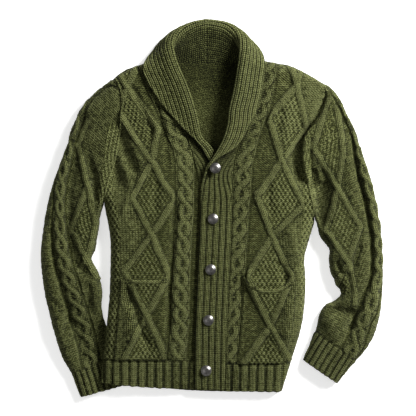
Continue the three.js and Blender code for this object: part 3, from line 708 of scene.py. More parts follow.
def wool_material():
    material, tree, shader = nodes_of("olive wool")
    add, less, times, power = (maths(tree, name) for name in ("ADD", "SUBTRACT", "MULTIPLY", "POWER"))
    sine, size, fraction, whole = (maths(tree, name) for name in ("SINE", "ABSOLUTE", "FRACT", "FLOOR"))
    split = tree.nodes.new("ShaderNodeSeparateXYZ")
    tree.links.new(attribute(tree, "knit", "Vector"), split.inputs[0])
    x, y, purl = split.outputs
    # knit stitches: two legs that lean apart upwards
    leg = times(size(less(fraction(x), 0.5)), 2.0)
    lean = fraction(less(y, times(leg, 0.7)))
    vee = power(times(sine(times(leg, math.pi)), sine(times(lean, math.pi))), 0.8)
    # purl stitches: rows of small arches
    wave = times(sine(times(x, 2 * math.pi)), 0.22)
    arch = power(sine(times(fraction(add(y, wave)), math.pi)), 0.6)
    stitch = add(times(vee, less(1.0, purl)), times(arch, purl))
    fibre = noise(tree, 700.0, 3.0, 0.7)
    yarn = noise(tree, 290.0, 2.0, 0.6)
    bump = tree.nodes.new("ShaderNodeBump")
    set_inputs(bump, {"Strength": 0.9, "Distance": 0.0022})
    height = add(add(stitch, times(fibre, 0.5)), times(yarn, 1.1))
    tree.links.new(height, bump.inputs["Height"])
    tree.links.new(bump.outputs["Normal"], shader.inputs["Normal"])
    # colour: painted shade between the stitches and, from the shade attribute, in the relief's valleys;
    # uneven from stitch to stitch
    cell = tree.nodes.new("ShaderNodeCombineXYZ")
    tree.links.new(whole(x), cell.inputs[0])
    tree.links.new(whole(y), cell.inputs[1])
    chance = tree.nodes.new("ShaderNodeTexWhiteNoise")
    tree.links.new(cell.outputs[0], chance.inputs["Vector"])
    light = times(attribute(tree, "shade", "Fac"), 0.75)
    for part, middle, share in (
        (yarn, 0.5, less(1.35, times(purl, 0.45))),
        (stitch, 0.4, 0.95),
        (chance.outputs["Value"], 0.5, 0.2),
        (fibre, 0.5, 0.5),
        (noise(tree, 14.0, 2.0, 0.5), 0.5, 0.15),
    ):
        light = add(light, times(less(part, middle), share))
    colour = ramp(
        tree,
        light,
        (0.0, (0.0031, 0.0036, 0.0008)),
        (0.25, (0.0143, 0.0160, 0.0037)),
        (0.55, (0.0490, 0.0545, 0.0152)),
        (0.85, (0.1040, 0.1140, 0.0375)),
        (1.0, (0.1520, 0.1640, 0.0640)),
    )
    tree.links.new(colour, shader.inputs["Base Color"])
    set_inputs(shader, {
        "Roughness": 0.92,
        "Specular IOR Level": 0.1,
        "Sheen Weight": 0.08,
        "Sheen Roughness": 0.45,
        "Sheen Tint": (0.7, 0.75, 0.4, 1),
    })
    return material


def metal_material():
    material, tree, shader = nodes_of("aged nickel")
    add, times = maths(tree, "ADD"), maths(tree, "MULTIPLY")
    wear = noise(tree, 300.0, 4.0, 0.6)
    colour = ramp(tree, wear, (0.3, (0.13, 0.125, 0.118)), (0.7, (0.31, 0.30, 0.285)))
    tree.links.new(colour, shader.inputs["Base Color"])
    tree.links.new(add(times(wear, 0.18), 0.24), shader.inputs["Roughness"])
    set_inputs(shader, {"Metallic": 1.0})
    return material


wool = wool_material()
metal = metal_material()


# Meshes
OUTER_WALLS = [(0, 0), (0, 1), (1, 1), (1, 0)]
INNER_WALLS = [(0, 0), (1, 0), (1, 1), (0, 1)]
# The rim's rings: how far down they lie, and their share of the bulge
RIM_RINGS = ((0.22, 0.75), (0.55, 1.0), (0.85, 0.55))
RIM_BULGE = 0.35
# The outer face's share of the map that looks are baked to, and the clear margin round each face
ISLAND = 0.72
MARGIN = 0.012
pieces = {}


def normals(base, wrap=False):
    if wrap:
        ring = np.concatenate([base[:, -1:], base, base[:, :1]], 1)
        across = (ring[:, 2:] - ring[:, :-2]) / 2
    else:
        across = np.gradient(base, axis=1)
    n = np.cross(across, np.gradient(base, axis=0))
    return n / np.maximum(np.linalg.norm(n, axis=-1, keepdims=True), 1e-9)


def upward(n):
    return n * np.where(n[..., 2:] < 0, -1, 1)


def border(rows, columns, wrap):
    """The rows and columns of the grid's places round its edge, each loop with the grid on its left."""
    if wrap:
        c = np.arange(columns)
        return [(0 * c, c), (0 * c + rows - 1, -c % columns)]
    c, r = np.arange(columns - 1), np.arange(rows - 1)
    loop_rows = np.concatenate([0 * c, r, 0 * c + rows - 1, rows - 1 - r])
    loop_columns = np.concatenate([c, 0 * r + columns - 1, columns - 1 - c, 0 * r])
    return [(loop_rows, loop_columns)]


def in_map(j, i, left, right):
    """Places in the map that looks are baked to, from shares across and up a face."""
    return np.stack([left + MARGIN + (right - left - 2 * MARGIN) * j, MARGIN + (1 - 2 * MARGIN) * i], -1)


def grid_faces(rows, columns, wrap, start, walls, left, right):
    """The four-sided faces of a grid whose points are numbered from start, and their places in the map."""
    spans = columns if wrap else columns - 1
    r, c = np.meshgrid(np.arange(rows - 1), np.arange(spans), indexing="ij")
    r, c = r.ravel(), c.ravel()
    ids = [start + (r + i) * columns + (c + j) % columns for i, j in walls]
    places = [in_map((c + j) / spans, (r + i) / (rows - 1), left, right) for i, j in walls]
    return np.stack(ids, -1), np.stack(places, 1)


def put(items, what, values, kind=np.float32):
    items.foreach_set(what, np.asarray(values).astype(kind).ravel())


def added(name, data):
    """A new object in the scene."""
    item = bpy.data.objects.new(name, data)
    bpy.context.collection.objects.link(item)
    return item


def rim(top, under, loop, step, wrap, coarse, start):
    """A rounded rim along one loop of the grid's border: its rings of points, numbered from start, and
    its faces with their places in the map."""
    rows, columns = top.shape[:2]
    r, c = loop
    n = len(r)
    following = (np.arange(n) + 1) % n
    edge, low = top[r, c], under[r, c]
    in_r = (r == 0) * 1 - (r == rows - 1)
    in_c = 0 * c if wrap else (c == 0) * 1 - (c == columns - 1)
    out = edge + low - (top + under)[r + in_r, c + in_c]
    out /= np.maximum(np.linalg.norm(out, axis=-1, keepdims=True), 1e-9)
    thick = np.linalg.norm(edge - low, axis=-1, keepdims=True)
    out *= thick * (1 + 0.5 * uneven(edge[:, 0], edge[:, 1], 6, 5))[:, None] * RIM_BULGE
    rings = [mix(edge, low, share) + out * push for share, push in RIM_RINGS]
    ids = [r * columns + c] + [start + k * n + np.arange(n) for k in range(len(rings))]
    # in the map, the rings lie side by side in the margin round the outer face
    spans = columns if wrap else columns - 1
    flat = in_map(c / spans, r / (rows - 1), 0, ISLAND)
    flat_next = in_map((c + step) / spans, r / (rows - 1), 0, ISLAND) if wrap else flat[following]
    push = np.stack([-in_c, -in_r], -1) * (MARGIN / 5)
    here = [flat + push * k for k in range(5)]
    there = [flat_next + push[following] * k for k in range(5)]
    walls = []
    for k in range(3):
        corners = [ids[k][following], ids[k], ids[k + 1], ids[k + 1][following]]
        walls.append((np.stack(corners, -1), np.stack([there[k], here[k], here[k + 1], there[k + 1]], 1)))
    # every fine edge fans to the coarse place before it; each coarse edge closes with one triangle
    low_ids = rows * columns + (r // coarse) * len(range(0, columns, coarse)) + c // coarse
    shared = (r % coarse == 0) & (c % coarse == 0)
    before = np.maximum.accumulate(np.where(shared, np.arange(n), -1))
    first = np.flatnonzero(shared)
    second = np.roll(first, -1)
    last = (second - 1) % n
    fan = [ids[3][following], ids[3], low_ids[before]]
    closing = [ids[3][second], low_ids[first], low_ids[second]]
    triangles = [
        (np.stack(fan, -1), np.stack([there[3], here[3], here[4][before]], 1)),
        (np.stack(closing, -1), np.stack([there[3][last], here[4][first], there[4][last]], 1)),
    ]
    return rings, walls, triangles


def mesh_of(name, points, knits, shades, quads, triangles, order):
    """A mesh from lists of arrays. Its faces are turned over where order is -1."""
    points = (np.concatenate(points) + CENTRING) / 1000
    quads, quad_places = (np.concatenate(part)[:, ::order] for part in zip(*quads))
    triangles, triangle_places = (np.concatenate(part)[:, ::order] for part in zip(*triangles))
    mesh = bpy.data.meshes.new(name)
    mesh.vertices.add(len(points))
    mesh.loops.add(quads.size + triangles.size)
    mesh.polygons.add(len(quads) + len(triangles))
    put(mesh.vertices, "co", points)
    put(mesh.loops, "vertex_index", np.concatenate([quads.ravel(), triangles.ravel()]), np.int32)
    starts = np.concatenate([np.arange(len(quads)) * 4, quads.size + np.arange(len(triangles)) * 3])
    put(mesh.polygons, "loop_start", starts, np.int32)
    places = np.concatenate([quad_places.reshape(-1, 2), triangle_places.reshape(-1, 2)])
    put(mesh.uv_layers.new(name="OFBake").data, "uv", places)
    put(mesh.attributes.new("knit", "FLOAT_VECTOR", "POINT").data, "vector", np.concatenate(knits))
    put(mesh.attributes.new("shade", "FLOAT", "POINT").data, "value", np.concatenate(shades))
    mesh.update(calc_edges=True)
    mesh.shade_smooth()
    return mesh


def shell(
    name, top, under, knit, shade, wrap=False, coarse=3, turned=False, inner_knit=None, inner_shade=0.5
):
    """Adds a knitted piece: a fine outer face, a rounded rim and an inner face that is coarser by a
    factor. top and under are grids of the same size, in millimetres."""
    rows, columns = top.shape[:2]
    inner = under[::coarse, ::coarse]
    if inner_knit is None:
        inner_knit = knit * [1, 1, 0] + [0, 0, 1]
    inner_shade = np.broadcast_to(inner_shade, (rows, columns))
    points = [top.reshape(-1, 3), inner.reshape(-1, 3)]
    knits = [knit.reshape(-1, 3), inner_knit[::coarse, ::coarse].reshape(-1, 3)]
    shades = [shade.ravel(), inner_shade[::coarse, ::coarse].ravel()]
    quads = [
        grid_faces(rows, columns, wrap, 0, OUTER_WALLS, 0, ISLAND),
        grid_faces(*inner.shape[:2], wrap, rows * columns, INNER_WALLS, ISLAND, 1),
    ]
    triangles = []
    for step, loop in zip((1, -1), border(rows, columns, wrap)):
        start = sum(len(part) for part in points)
        rings, rim_quads, rim_triangles = rim(top, under, loop, step, wrap, coarse, start)
        points += rings
        knits += [knit[loop]] * len(rings)
        shades += [shade[loop]] * len(rings)
        quads += rim_quads
        triangles += rim_triangles
    mesh = mesh_of(name + "_knit", points, knits, shades, quads, triangles, -1 if turned else 1)
    mesh.materials.append(wool)
    pieces[name] = added(name + "_knit", mesh)


# Fronts
def beside(table, side, x, y, reach):
    """How near a place lies to the outer side of the collar's free edge, from 0 to 1."""
    path = [row[4:6] for row in table if 7.7 < row[0] <= ROWS]
    d, _, share = along(path, x, y)
    outside = smooth(d * side / 3 + 1)
    return outside * hump(np.maximum(d * side, 0), reach) * smooth(share / 0.04)


def front(name, rows, folds, columns, relief, pocket_area, collar, shadow):
    """Adds a front and gives its outer face. A shadow of the collar is painted on what lies beside it."""
    u = even(lambda t: front_base(rows, [], t, np.full_like(t, 0.36)), columns)
    v = even(lambda t: front_base(rows, [], np.full_like(t, 0.6), t), FRONT_LINES)
    v, u = np.meshgrid(v, u, indexing="ij")
    base = front_base(rows, folds, u, v)
    n = upward(normals(base))
    width, height = width_at(rows, v), height_of(rows)
    x, y = base[..., 0], base[..., 1]
    from_centre = (1 - u) * width
    from_side = np.where(v > UNDERARM, u * width, np.inf)
    fabric = Fabric(x, y, from_centre, y)
    relief(fabric)
    fabric.rib((RIB_TOP - v) * height, from_centre - 6, HEM_PITCH, -0.2, 1.15)
    fabric.h += groove((RIB_TOP - v) * height, 1.6, 3.5)
    first, last, mouth = pocket_area
    covered = smooth((u - first) * width / 3) * smooth((last - u) * width / 3)
    covered = covered * smooth((v - RIB_TOP) * height / 3) * smooth((mouth - v) * height / 3)
    fabric.h = mix(fabric.h, COVERED_LEVEL, covered)
    fabric.h += groove(from_side - 5, 0.6, 2.5)
    fabric.worn()
    fabric.h = mix(fabric.h, SEAM_LEVEL, smooth((3 - from_side) / 2))
    calm = smooth((1 - v) * height / 12) * smooth(from_centre / 5)
    lift = fabric.h * mix(0.3, 1, calm) - 1.5 * (1 - calm)
    top = base + n * lift[..., None]
    under = base - n * WALL
    under[..., 2] = np.maximum(under[..., 2], ground(x, y) + WALL + GAP)
    # the collar's painted shadow weakens towards the shoulder
    shadow = shadow * mix(1, 0.35, smooth((y - 130) / 50))
    dimmed = 1 - shadow * beside(collar, math.copysign(1, rows[0][0]), x, y, 12)
    shell(name, top, under, fabric.knit(), fabric.shade() * dimmed, turned=rows[0][0] > rows[0][2])
    return top


# Lines that the stitch patterns follow, seen from above
LEFT_CABLE = [
    [34, -330], [38, -276], [45, -192], [50, -129], [55, -58], [60, 18], [66, 89], [78, 144], [92, 186],
    [108, 238], [119, 308], [121, 330],
]
LEFT_OVER = [
    [192, 310], [178, 258], [120, 190], [147, 100], [191, 8], [127, -58], [72, -143], [123, -247],
    [170, -328],
]
LEFT_UNDER = [
    [166, 310], [178, 258], [197, 172], [147, 100], [95, 25], [127, -58], [167, -145], [123, -247],
    [66, -328],
]
LEFT_MOSS = [
    [185, -330], [184, -90], [188, -35], [190, 10], [190, 60], [189, 110], [198, 150], [214, 190],
    [229, 222], [240, 260],
]
RIGHT_CABLE = [
    [-74, -330], [-71, -287], [-67, -234], [-65, -150], [-61, -66], [-56, 18], [-57, 80], [-61, 120],
    [-76, 160], [-95, 205], [-118, 258], [-140, 310],
]
RIGHT_OVER = [
    [-160, 300], [-178, 253], [-196, 203], [-127, 97], [-79, 18], [-127, -55], [-183, -132], [-138, -222],
    [-94, -318],
]
RIGHT_UNDER = [
    [-198, 290], [-178, 253], [-114, 165], [-127, 97], [-166, 22], [-127, -55], [-91, -142], [-138, -222],
    [-186, -318],
]
RIGHT_MOSS = [
    [-193, -330], [-193, -60], [-199, 0], [-207, 50], [-200, 100], [-192, 150], [-204, 200], [-212, 240],
    [-216, 290],
]


def left_relief(fabric):
    a = fabric.side_of(LEFT_MOSS)
    fabric.moss(smooth(a / 4))
    fabric.lattice(LEFT_OVER, LEFT_UNDER, a < 2, plain_side=-1)
    # painted light: this front is made lighter on its outer side and on its shoulder, which lie towards the
    # lamp
    lit_shoulder = smooth((fabric.x - 120) / 40) * smooth((fabric.y - 150) / 40)
    fabric.tone += 0.12 * smooth((fabric.x - 145) / 30) + 0.2 * lit_shoulder
    fabric.cable_along(LEFT_CABLE)


def right_relief(fabric):
    a = fabric.side_of(RIGHT_MOSS)
    fabric.moss(smooth(-a / 4))
    # painted shade: this lattice is darker than the left front's, which lies towards the lamp
    fabric.lattice(RIGHT_OVER, RIGHT_UNDER, a > -2, plain_side=1, tone=SHADED_LATTICE_TONE)
    # painted light: this front is made lighter towards its outer side, where its hollows lie in shade
    fabric.tone += 0.16 * smooth((-150 - fabric.x) / 30)
    fabric.cable_along(RIGHT_CABLE, hand=-1)


# Shares across a front between which its pocket lies
LEFT_POCKET = (0.13, 0.81)
RIGHT_POCKET = (0.12, 0.665)
left_area = (*LEFT_POCKET, POCKET_MOUTH - ROW_STEP)
right_area = (*RIGHT_POCKET, POCKET_MOUTH - ROW_STEP / 4)
left_top = front("front_left", FRONT_LEFT, LEFT_FOLDS, 139, left_relief, left_area, STRIP_LEFT, 0.95)
right_top = front("front_right", FRONT_RIGHT, RIGHT_FOLDS, 148, right_relief, right_area, STRIP_RIGHT, 0.6)


# Pockets: how far each mouth rises above its row, from the side to the centre
LEFT_LIP = [[4], [-1], [-7], [-11], [-12], [-11], [-7], [2], [17]]
RIGHT_LIP = [[9], [8], [7], [6], [6]]


def pocket(name, rows, folds, place, lip_rise, over_path, under_path, plain_side):
    """A pocket on a front, whose mouth rises by lip_rise above its row and gapes."""
    first, last = place
    columns, lines = POCKET_GRID
    p, q = np.meshgrid(np.linspace(0, 1, columns), np.linspace(0, 1, lines))
    mouth = POCKET_MOUTH + rows_at(lip_rise, p)[..., 0] / height_of(rows)
    u, v = mix(first, last, p), mix(RIB_TOP, mouth, q)
    on = front_base(rows, folds, u, v)
    n = upward(normals(on))
    lift = GAP + POCKET_GAPE * np.sin(np.pi * p) * q**3
    base = on + n * (lift + WALL)[..., None]
    x, y = base[..., 0], base[..., 1]
    width = width_at(rows, v)
    fabric = Fabric(x, y, (1 - u) * width, y)
    fabric.lattice(over_path, under_path, plain_side=plain_side)
    tall = (mouth - RIB_TOP) * height_of(rows)
    from_top = (1 - q) * tall
    lip = smooth((7.5 - from_top) / 2)
    fabric.h = mix(fabric.h, -0.6 + 1.3 * cord(from_top - 2.5, 6), lip)
    fabric.tone = mix(fabric.tone, LIP_TONE, lip)
    from_side = np.minimum(p, 1 - p) * (last - first) * width
    fabric.h += groove(from_side, 1.5, 3.0) + groove(q * tall, 1.5, 3.0)
    fabric.worn()
    top = base + n * fabric.h[..., None]
    shell(name, top, base - n * WALL, fabric.knit(), fabric.shade(), turned=rows[0][0] > rows[0][2])


pocket("pocket_left", FRONT_LEFT, LEFT_FOLDS, LEFT_POCKET, LEFT_LIP, LEFT_OVER, LEFT_UNDER, -1)
pocket("pocket_right", FRONT_RIGHT, RIGHT_FOLDS, RIGHT_POCKET, RIGHT_LIP, RIGHT_OVER, RIGHT_UNDER, 1)


# Sleeves
def armhole(rows):
    """The armhole's edge from the shoulder down to the underarm, as shares of its chord and what it
    departs from the chord by."""
    v = np.linspace(1, UNDERARM, 200)
    edge = front_base(rows, [], np.zeros_like(v), v)[:, :2]
    span = edge[-1] - edge[0]
    share = ((edge - edge[0]) @ span) / (span @ span)
    return share, edge - edge[0] - share[:, None] * span


def sleeve_ring(panel, rows, folds, t, k):
    """The upper half of the sleeve's outer face: t along it, k across it from the outer edge."""
    share, away = armhole(panel)
    outer_x, outer_y, inner_x, inner_y, outer_loft, inner_loft = np.moveaxis(rows_at(rows, t), -1, 0)
    length = np.hypot(outer_x - inner_x, outer_y - inner_y)
    fade = 1 - smooth(t / CAP_FADE)
    cut = np.linspace(0, 1, len(share))
    s = mix(k, np.interp(k, cut, share), fade)
    x = mix(outer_x, inner_x, s) + (np.interp(k, cut, away[:, 0]) + np.sign(outer_x) * GAP) * fade
    y = mix(outer_y, inner_y, s) + np.interp(k, cut, away[:, 1]) * fade
    loft = mix(outer_loft, inner_loft, smooth((s - 0.1) / 0.4))
    edge = roll(np.minimum(s, 1 - s) * length / SLEEVE_ROUND)
    drop = folds_at(x, y, folds) * smooth(t * 8)
    z = SLEEVE_EDGE + np.maximum(0, (loft - SLEEVE_EDGE - drop) * edge)
    return np.stack([x, y, z], -1)


def sleeve(name, panel, rows, folds, relief, cuff):
    """Adds a sleeve, ribbed over the length of its cuff."""
    t = even(lambda w: sleeve_ring(panel, rows, [], w, np.full_like(w, 0.5)), SLEEVE_LINES)
    k = even(lambda w: sleeve_ring(panel, rows, [], np.full_like(w, 0.55), w), SLEEVE_UPPER)
    upper_half = sleeve_ring(panel, rows, folds, *np.meshgrid(t, k, indexing="ij"))
    # the under half: round from the edges down to a flat underside
    inset = 0.5 - 0.5 * np.cos(np.pi * np.linspace(0, 1, SLEEVE_LOWER + 2)[1:-1])[None, :, None]
    last = upper_half[:, -1:]
    chord = last - upper_half[:, :1]
    from_edge = np.minimum(inset, 1 - inset) * np.linalg.norm(chord[..., :2], axis=-1, keepdims=True)
    lower_half = last - chord * inset
    lower_half[..., 2:] = SLEEVE_EDGE * (1 - roll(from_edge / SLEEVE_EDGE))
    base = np.concatenate([upper_half, lower_half], 1)
    n = normals(base, wrap=True)
    flip = np.sign(((base - base.mean(axis=1, keepdims=True)) * n).sum(-1).mean())
    n = n * flip
    x, y = base[..., 0], base[..., 1]
    middle = base[:, SLEEVE_UPPER // 2]
    down = lengths(middle)
    # stitches are squared up to the sleeve's middle line, which runs on past both ends
    line = middle[:: (SLEEVE_LINES - 1) // 40, :2]
    run_on = 90 * np.array([line[0] - line[1], line[-1] - line[-2]]) / np.linalg.norm(line[1] - line[0])
    line = np.concatenate([line[:1] + run_on[:1], line, line[-1:] + run_on[1:]])
    across, along_sleeve, _ = along(line, x, y, parts=1)
    steps = np.hypot(np.diff(across, axis=1), np.diff(base[..., 2], axis=1))
    round_it = np.concatenate([np.zeros((len(t), 1)), np.cumsum(steps, 1)], 1)
    fabric = Fabric(x, y, round_it - round_it[:, SLEEVE_UPPER // 2, None], along_sleeve)
    relief(fabric)
    from_cap = np.broadcast_to(down[:, None], x.shape)
    from_cuff = down[-1] - from_cap
    rib = fabric.rib(cuff - from_cuff, fabric.own_a, CUFF_PITCH, -0.2, 1.2)
    fabric.a = mix(fabric.a, fabric.own_a, rib)
    fabric.h += groove(from_cuff - cuff, 0.5, 3.5) + groove(from_cap, 1.8, 4.0)
    fabric.worn()
    calm = smooth(from_cap / 8)
    lift = (fabric.h * calm - 1.2 * (1 - calm)) * smooth(base[..., 2] / 4)
    top = base + n * lift[..., None]
    shell(name, top, base - n * WALL, fabric.knit(), fabric.shade(wrap=True), wrap=True, turned=flip < 0)


SLEEVE_LEFT_OVER = [
    [245, 232], [213, 128], [264, 43], [310, -38], [286, -114], [266, -150], [258, -180],
]
SLEEVE_LEFT_UNDER = [
    [262, 215], [276, 120], [264, 43], [240, -45], [286, -114], [302, -186], [300, -205],
]
SLEEVE_LEFT_ARMHOLE = [
    [252, 250], [240, 215], [222, 175], [213, 140], [207, 100], [214, 50], [222, 5],
]
SLEEVE_RIGHT_CREASE = [
    [-250, 232], [-262, 210], [-272, 175], [-284, 140], [-289, 110], [-296, 80], [-303, 45], [-306, 10],
    [-304, -30], [-302, -60], [-292, -105], [-282, -140], [-272, -175], [-262, -210], [-250, -250],
    [-240, -290], [-232, -330], [-226, -365],
]
SLEEVE_RIGHT_OVER = [
    [-262, 185], [-280, 135], [-261, 48], [-244, -32], [-262, -108], [-282, -135],
]
SLEEVE_RIGHT_UNDER = [
    [-257, 58], [-261, 48], [-296, -46], [-262, -108], [-238, -150],
]
SLEEVE_RIGHT_ARMHOLE = [
    [-208, 250], [-212, 200], [-222, 150], [-226, 110], [-236, 60], [-244, 10],
]


def sleeve_cable(fabric, fold_line, hand):
    """A cable that runs down a sleeve just outside a fold, measured round the sleeve."""
    nearest = np.abs(fabric.side_of(fold_line)[:, :SLEEVE_UPPER]).argmin(1)
    at_fold = np.take_along_axis(fabric.own_a, nearest[:, None], 1)[:, 0]
    a = evened(at_fold, 7)[:, None] - fabric.own_a - 23
    shown = (np.abs(a) < CABLE_BED) & (fabric.y > fold_line[-1][1] - 12)
    fabric.cable(a, fabric.own_b, shown, hand, SLEEVE_BED)


def sleeve_left_relief(fabric):
    near_armhole = smooth(fabric.side_of(SLEEVE_LEFT_ARMHOLE) / 4 + 0.5)
    fabric.moss(near_armhole * (fabric.y > 5) * (fabric.own_a > -120))
    fabric.lattice(SLEEVE_LEFT_OVER, SLEEVE_LEFT_UNDER, fabric.own_a < 130)
    sleeve_cable(fabric, SLEEVE_LEFT_CREASE, 1)


def sleeve_right_relief(fabric):
    near_armhole = smooth(-fabric.side_of(SLEEVE_RIGHT_ARMHOLE) / 4 + 0.5)
    fabric.moss(near_armhole * (fabric.y > 5) * smooth((190 - fabric.y) / 30))
    fabric.lattice(SLEEVE_RIGHT_OVER, SLEEVE_RIGHT_UNDER)
    sleeve_cable(fabric, SLEEVE_RIGHT_CREASE, -1)


sleeve("sleeve_left", FRONT_LEFT, SLEEVE_LEFT, SLEEVE_LEFT_FOLDS, sleeve_left_relief, 62)
sleeve("sleeve_right", FRONT_RIGHT, SLEEVE_RIGHT, SLEEVE_RIGHT_FOLDS, sleeve_right_relief, 58)


# Back
def back():
    """Adds the back, which lies on its outer face."""
    columns, lines = BACK_GRID
    across, v = np.meshgrid(np.linspace(0, 1, columns), np.linspace(0, 1, lines))
    x, y = back_plan(across, v)
    base = np.stack([x, y, ground(x, y)], -1)
    fabric = Fabric(x, y, x, y)
    turns = np.arange(-480, 481, 80)
    for centre in (-115, 115):
        swing = 46 * np.sin(np.pi / 2 * np.arange(len(turns)))
        fabric.lattice(np.stack([centre + swing, turns], -1), np.stack([centre - swing, turns], -1))
    for centre in (-190, 0, 190):
        fabric.cable_along([[centre, -420], [centre, 400]])
    fabric.rib((RIB_TOP - v) * height_of(FRONT_LEFT), x, HEM_PITCH, 0.2, 1.4)
    pressed = 0.45 * np.maximum(0, 1.2 - fabric.h)
    top = base + np.stack([0 * x, 0 * x, pressed], -1)
    # the inside shows the wrong side of a chevron of stitches
    slope = np.abs(x - 8)
    inside = knitting((slope + y) * 0.7, (slope - y) * 0.7, 0.6 + 0 * x)
    # painted shade on the inside: darker up towards the neckline, under the collar, and towards the right
    within = 0.48 - 0.46 * smooth((y - 190) / 110) - 0.1 * smooth((x - 5) / 45)
    shell(
        "back", top, base + np.array([0, 0, WALL]), fabric.knit(), fabric.shade(wide=3, fine=1),
        turned=True, inner_knit=inside, inner_shade=within,
    )


back()


# Collar and bands
def seam_points(rows, side, station):
    """Where a strip is sewn on. The station is the row over 14: 1 at the shoulder, 2 mid-back."""
    on_front = front_base(rows, [], np.ones_like(station), np.minimum(station, 1))
    on_front = on_front + np.array([-side * GAP, 0, -WALL / 2])
    on_front[..., 2] = np.maximum(on_front[..., 2], SHOULDER_SEAM)
    left, right = FRONT_RIGHT[-1][0], FRONT_LEFT[-1][0]
    middle = mix(left, right, NECK_MIDDLE) + side * GAP / 2
    x = mix(float(rows[-1][2]), middle, np.maximum(station - 1, 0))
    across = (x - left) / (right - left)
    _, y = back_plan(across, np.ones_like(across))
    clear = mix(TIP_CLEAR, 1, smooth((station - 1) / 0.3)) * GAP
    on_back = np.stack([x, y + clear, np.full_like(x, RIB_WALL / 2)], -1)
    return mix(on_front, on_back, smooth((station - 0.97) / 0.1)[..., None])


def resting(tree, x, y, radius):
    """The height of the highest point under a disc, in millimetres, or 0 where there is none."""
    best = 0.0
    for k in range(9):
        angle = k * math.pi / 4
        r = radius if k < 8 else 0
        origin = Vector((x + r * math.cos(angle), y + r * math.sin(angle), 200))
        hit = tree.ray_cast(origin, Vector((0, 0, -1)))[0]
        if hit is not None:
            best = max(best, hit.z)
    return best


def tree_of(grid):
    """A search tree of every third line of a grid."""
    grid = grid[::3, ::3]
    quads, _ = grid_faces(*grid.shape[:2], False, 0, OUTER_WALLS, 0, 1)
    return BVHTree.FromPolygons([Vector(p) for p in grid.reshape(-1, 3)], quads.tolist())


def strip(table, rows, side, panel):
    """Each line's row, the middle of the strip's thickness, and how far its places and its fold are
    from the seam."""
    seams = np.array([row[0] for row in table]) / ROWS

    def row_of(station):
        i = np.minimum(len(table) - 2, np.searchsorted(seams, station + 1e-9, side="right") - 1)
        f = (station - seams[i]) / (seams[i + 1] - seams[i])
        return rows_at(table, (i + f) / (len(table) - 1))

    station = 2 * even(lambda w: row_of(2 * w)[..., 1:4], STRIP_LINES)
    row = row_of(station)
    seam = seam_points(rows, side, station)
    fold_at, free = row[..., 1:4].copy(), row[..., 4:7].copy()
    fold_at[-1, 0] = free[-1, 0] = seam[-1, 0]
    turn, rounding = np.radians(row[..., 7]), np.maximum(row[..., 8], 0)
    inward = np.stack([-side * np.sin(turn), 0 * turn, np.cos(turn)], -1) * rounding[:, None]
    before = mix(fold_at, seam, FOLD_REACH) + inward
    after = mix(fold_at, free, FOLD_REACH) - inward
    middle = mix(after, free, 0.5)
    tree = tree_of(panel)
    for points, clear in ((after, 1.0), (middle, 1.0), (free, 1.6)):
        lifted = np.array([resting(tree, p[0], p[1], RIB_WALL) for p in points])
        lifted = np.where(lifted > 0, lifted + GAP + RIB_WALL / 2 + clear, 0)
        lifted = np.where((rounding > 1) & (lifted > RIB_WALL + 3), lifted, 0)
        points[..., 2] = np.maximum(points[..., 2], lifted)
    controls = np.stack([seam, mix(seam, before, 0.5), before, fold_at, after, middle, free])
    sections = np.moveaxis(rows_at(controls, np.linspace(0, 1, SECTION_STEPS + 1)), 0, 1)
    weights = np.array([1, 2, 3, 2, 1], float) / 9
    padded = np.pad(sections, [(2, 2), (0, 0), (0, 0)], mode="reflect", reflect_type="odd")
    sections = sum(weights[k] * padded[k : k + STRIP_LINES] for k in range(5))
    arc = lengths(sections)
    places = np.linspace(0, arc[:, -1], STRIP_COLUMNS, axis=1)
    base = np.empty((STRIP_LINES, STRIP_COLUMNS, 3))
    for i in range(STRIP_LINES):
        for axis in range(3):
            base[i, :, axis] = np.interp(places[i], arc[i], sections[i, :, axis])
    return station * ROWS, base, places, arc[:, SECTION_STEPS // 2]


def strip_piece(name, table, rows, side, panel, light):
    """A band and its half of the collar. What is seen of the collar is the strip's under face."""
    station, base, arc, at_fold = strip(table, rows, side, panel)
    n = normals(base) * -side
    on_neck = smooth((station - 7) / 1.3)
    r = mix(arc[:, -1], at_fold, on_neck)[:, None] - arc
    pitch = mix(BAND_PITCH, COLLAR_PITCH, on_neck)[:, None]
    rib = grooved(r / pitch)
    counter = grooved(r / pitch + 0.5)
    x, y = base[..., 0], base[..., 1]
    fuzz = 0.3 * uneven(x, y, 3.2, 6) + 0.25 * uneven(x, y, 8, 7)
    from_fold, from_free = arc - at_fold[:, None], arc[:, -1:] - arc
    # the inner side of the neck is calmer, and its colour is painted dark for the collar's own shade
    inner = smooth((-from_fold - 12) / 14) * smooth((station - 8.5) / 2)[:, None]
    depth = smooth(arc / 4) * smooth(from_free / 2) * (1 - 0.8 * inner)
    core = RIB_WALL / 2 - 0.7
    top = base + n * (core + depth * rib + fuzz)[..., None]
    under = base - n * (core + depth * counter - fuzz)[..., None]
    for face in (top, under):
        face[..., 2] = np.maximum(face[..., 2], 0.05)
    b = np.broadcast_to(lengths(base[:, STRIP_COLUMNS // 2])[:, None], r.shape)
    # painted light: the collar's own amount for its side, and painted highlights along its fold and its free
    # edge
    painted_collar_light = light + 0.14 * hump(from_fold, 9) + 0.42 * hump(from_free, 4.5) - 0.06
    below = (from_fold < 0) & (station[:, None] < 11)
    # the band's face gets painted shade in its rib grooves and a painted shadow beside the collar's free
    # edge; the collar's seen face gets painted shade in its grooves
    shell(
        name, top, under, knitting(2 * STITCH * r / pitch, b, 0 * r),
        clamp(0.45 + 0.3 * rib) * (1 - 0.95 * beside(table, side, x, y, 10) * below),
        coarse=1, turned=side > 0, inner_knit=knitting(STITCH * (r / pitch + 0.5), b, 0 * r),
        inner_shade=mix(clamp(0.46 + 0.25 * counter + painted_collar_light), 0.22, inner),
    )


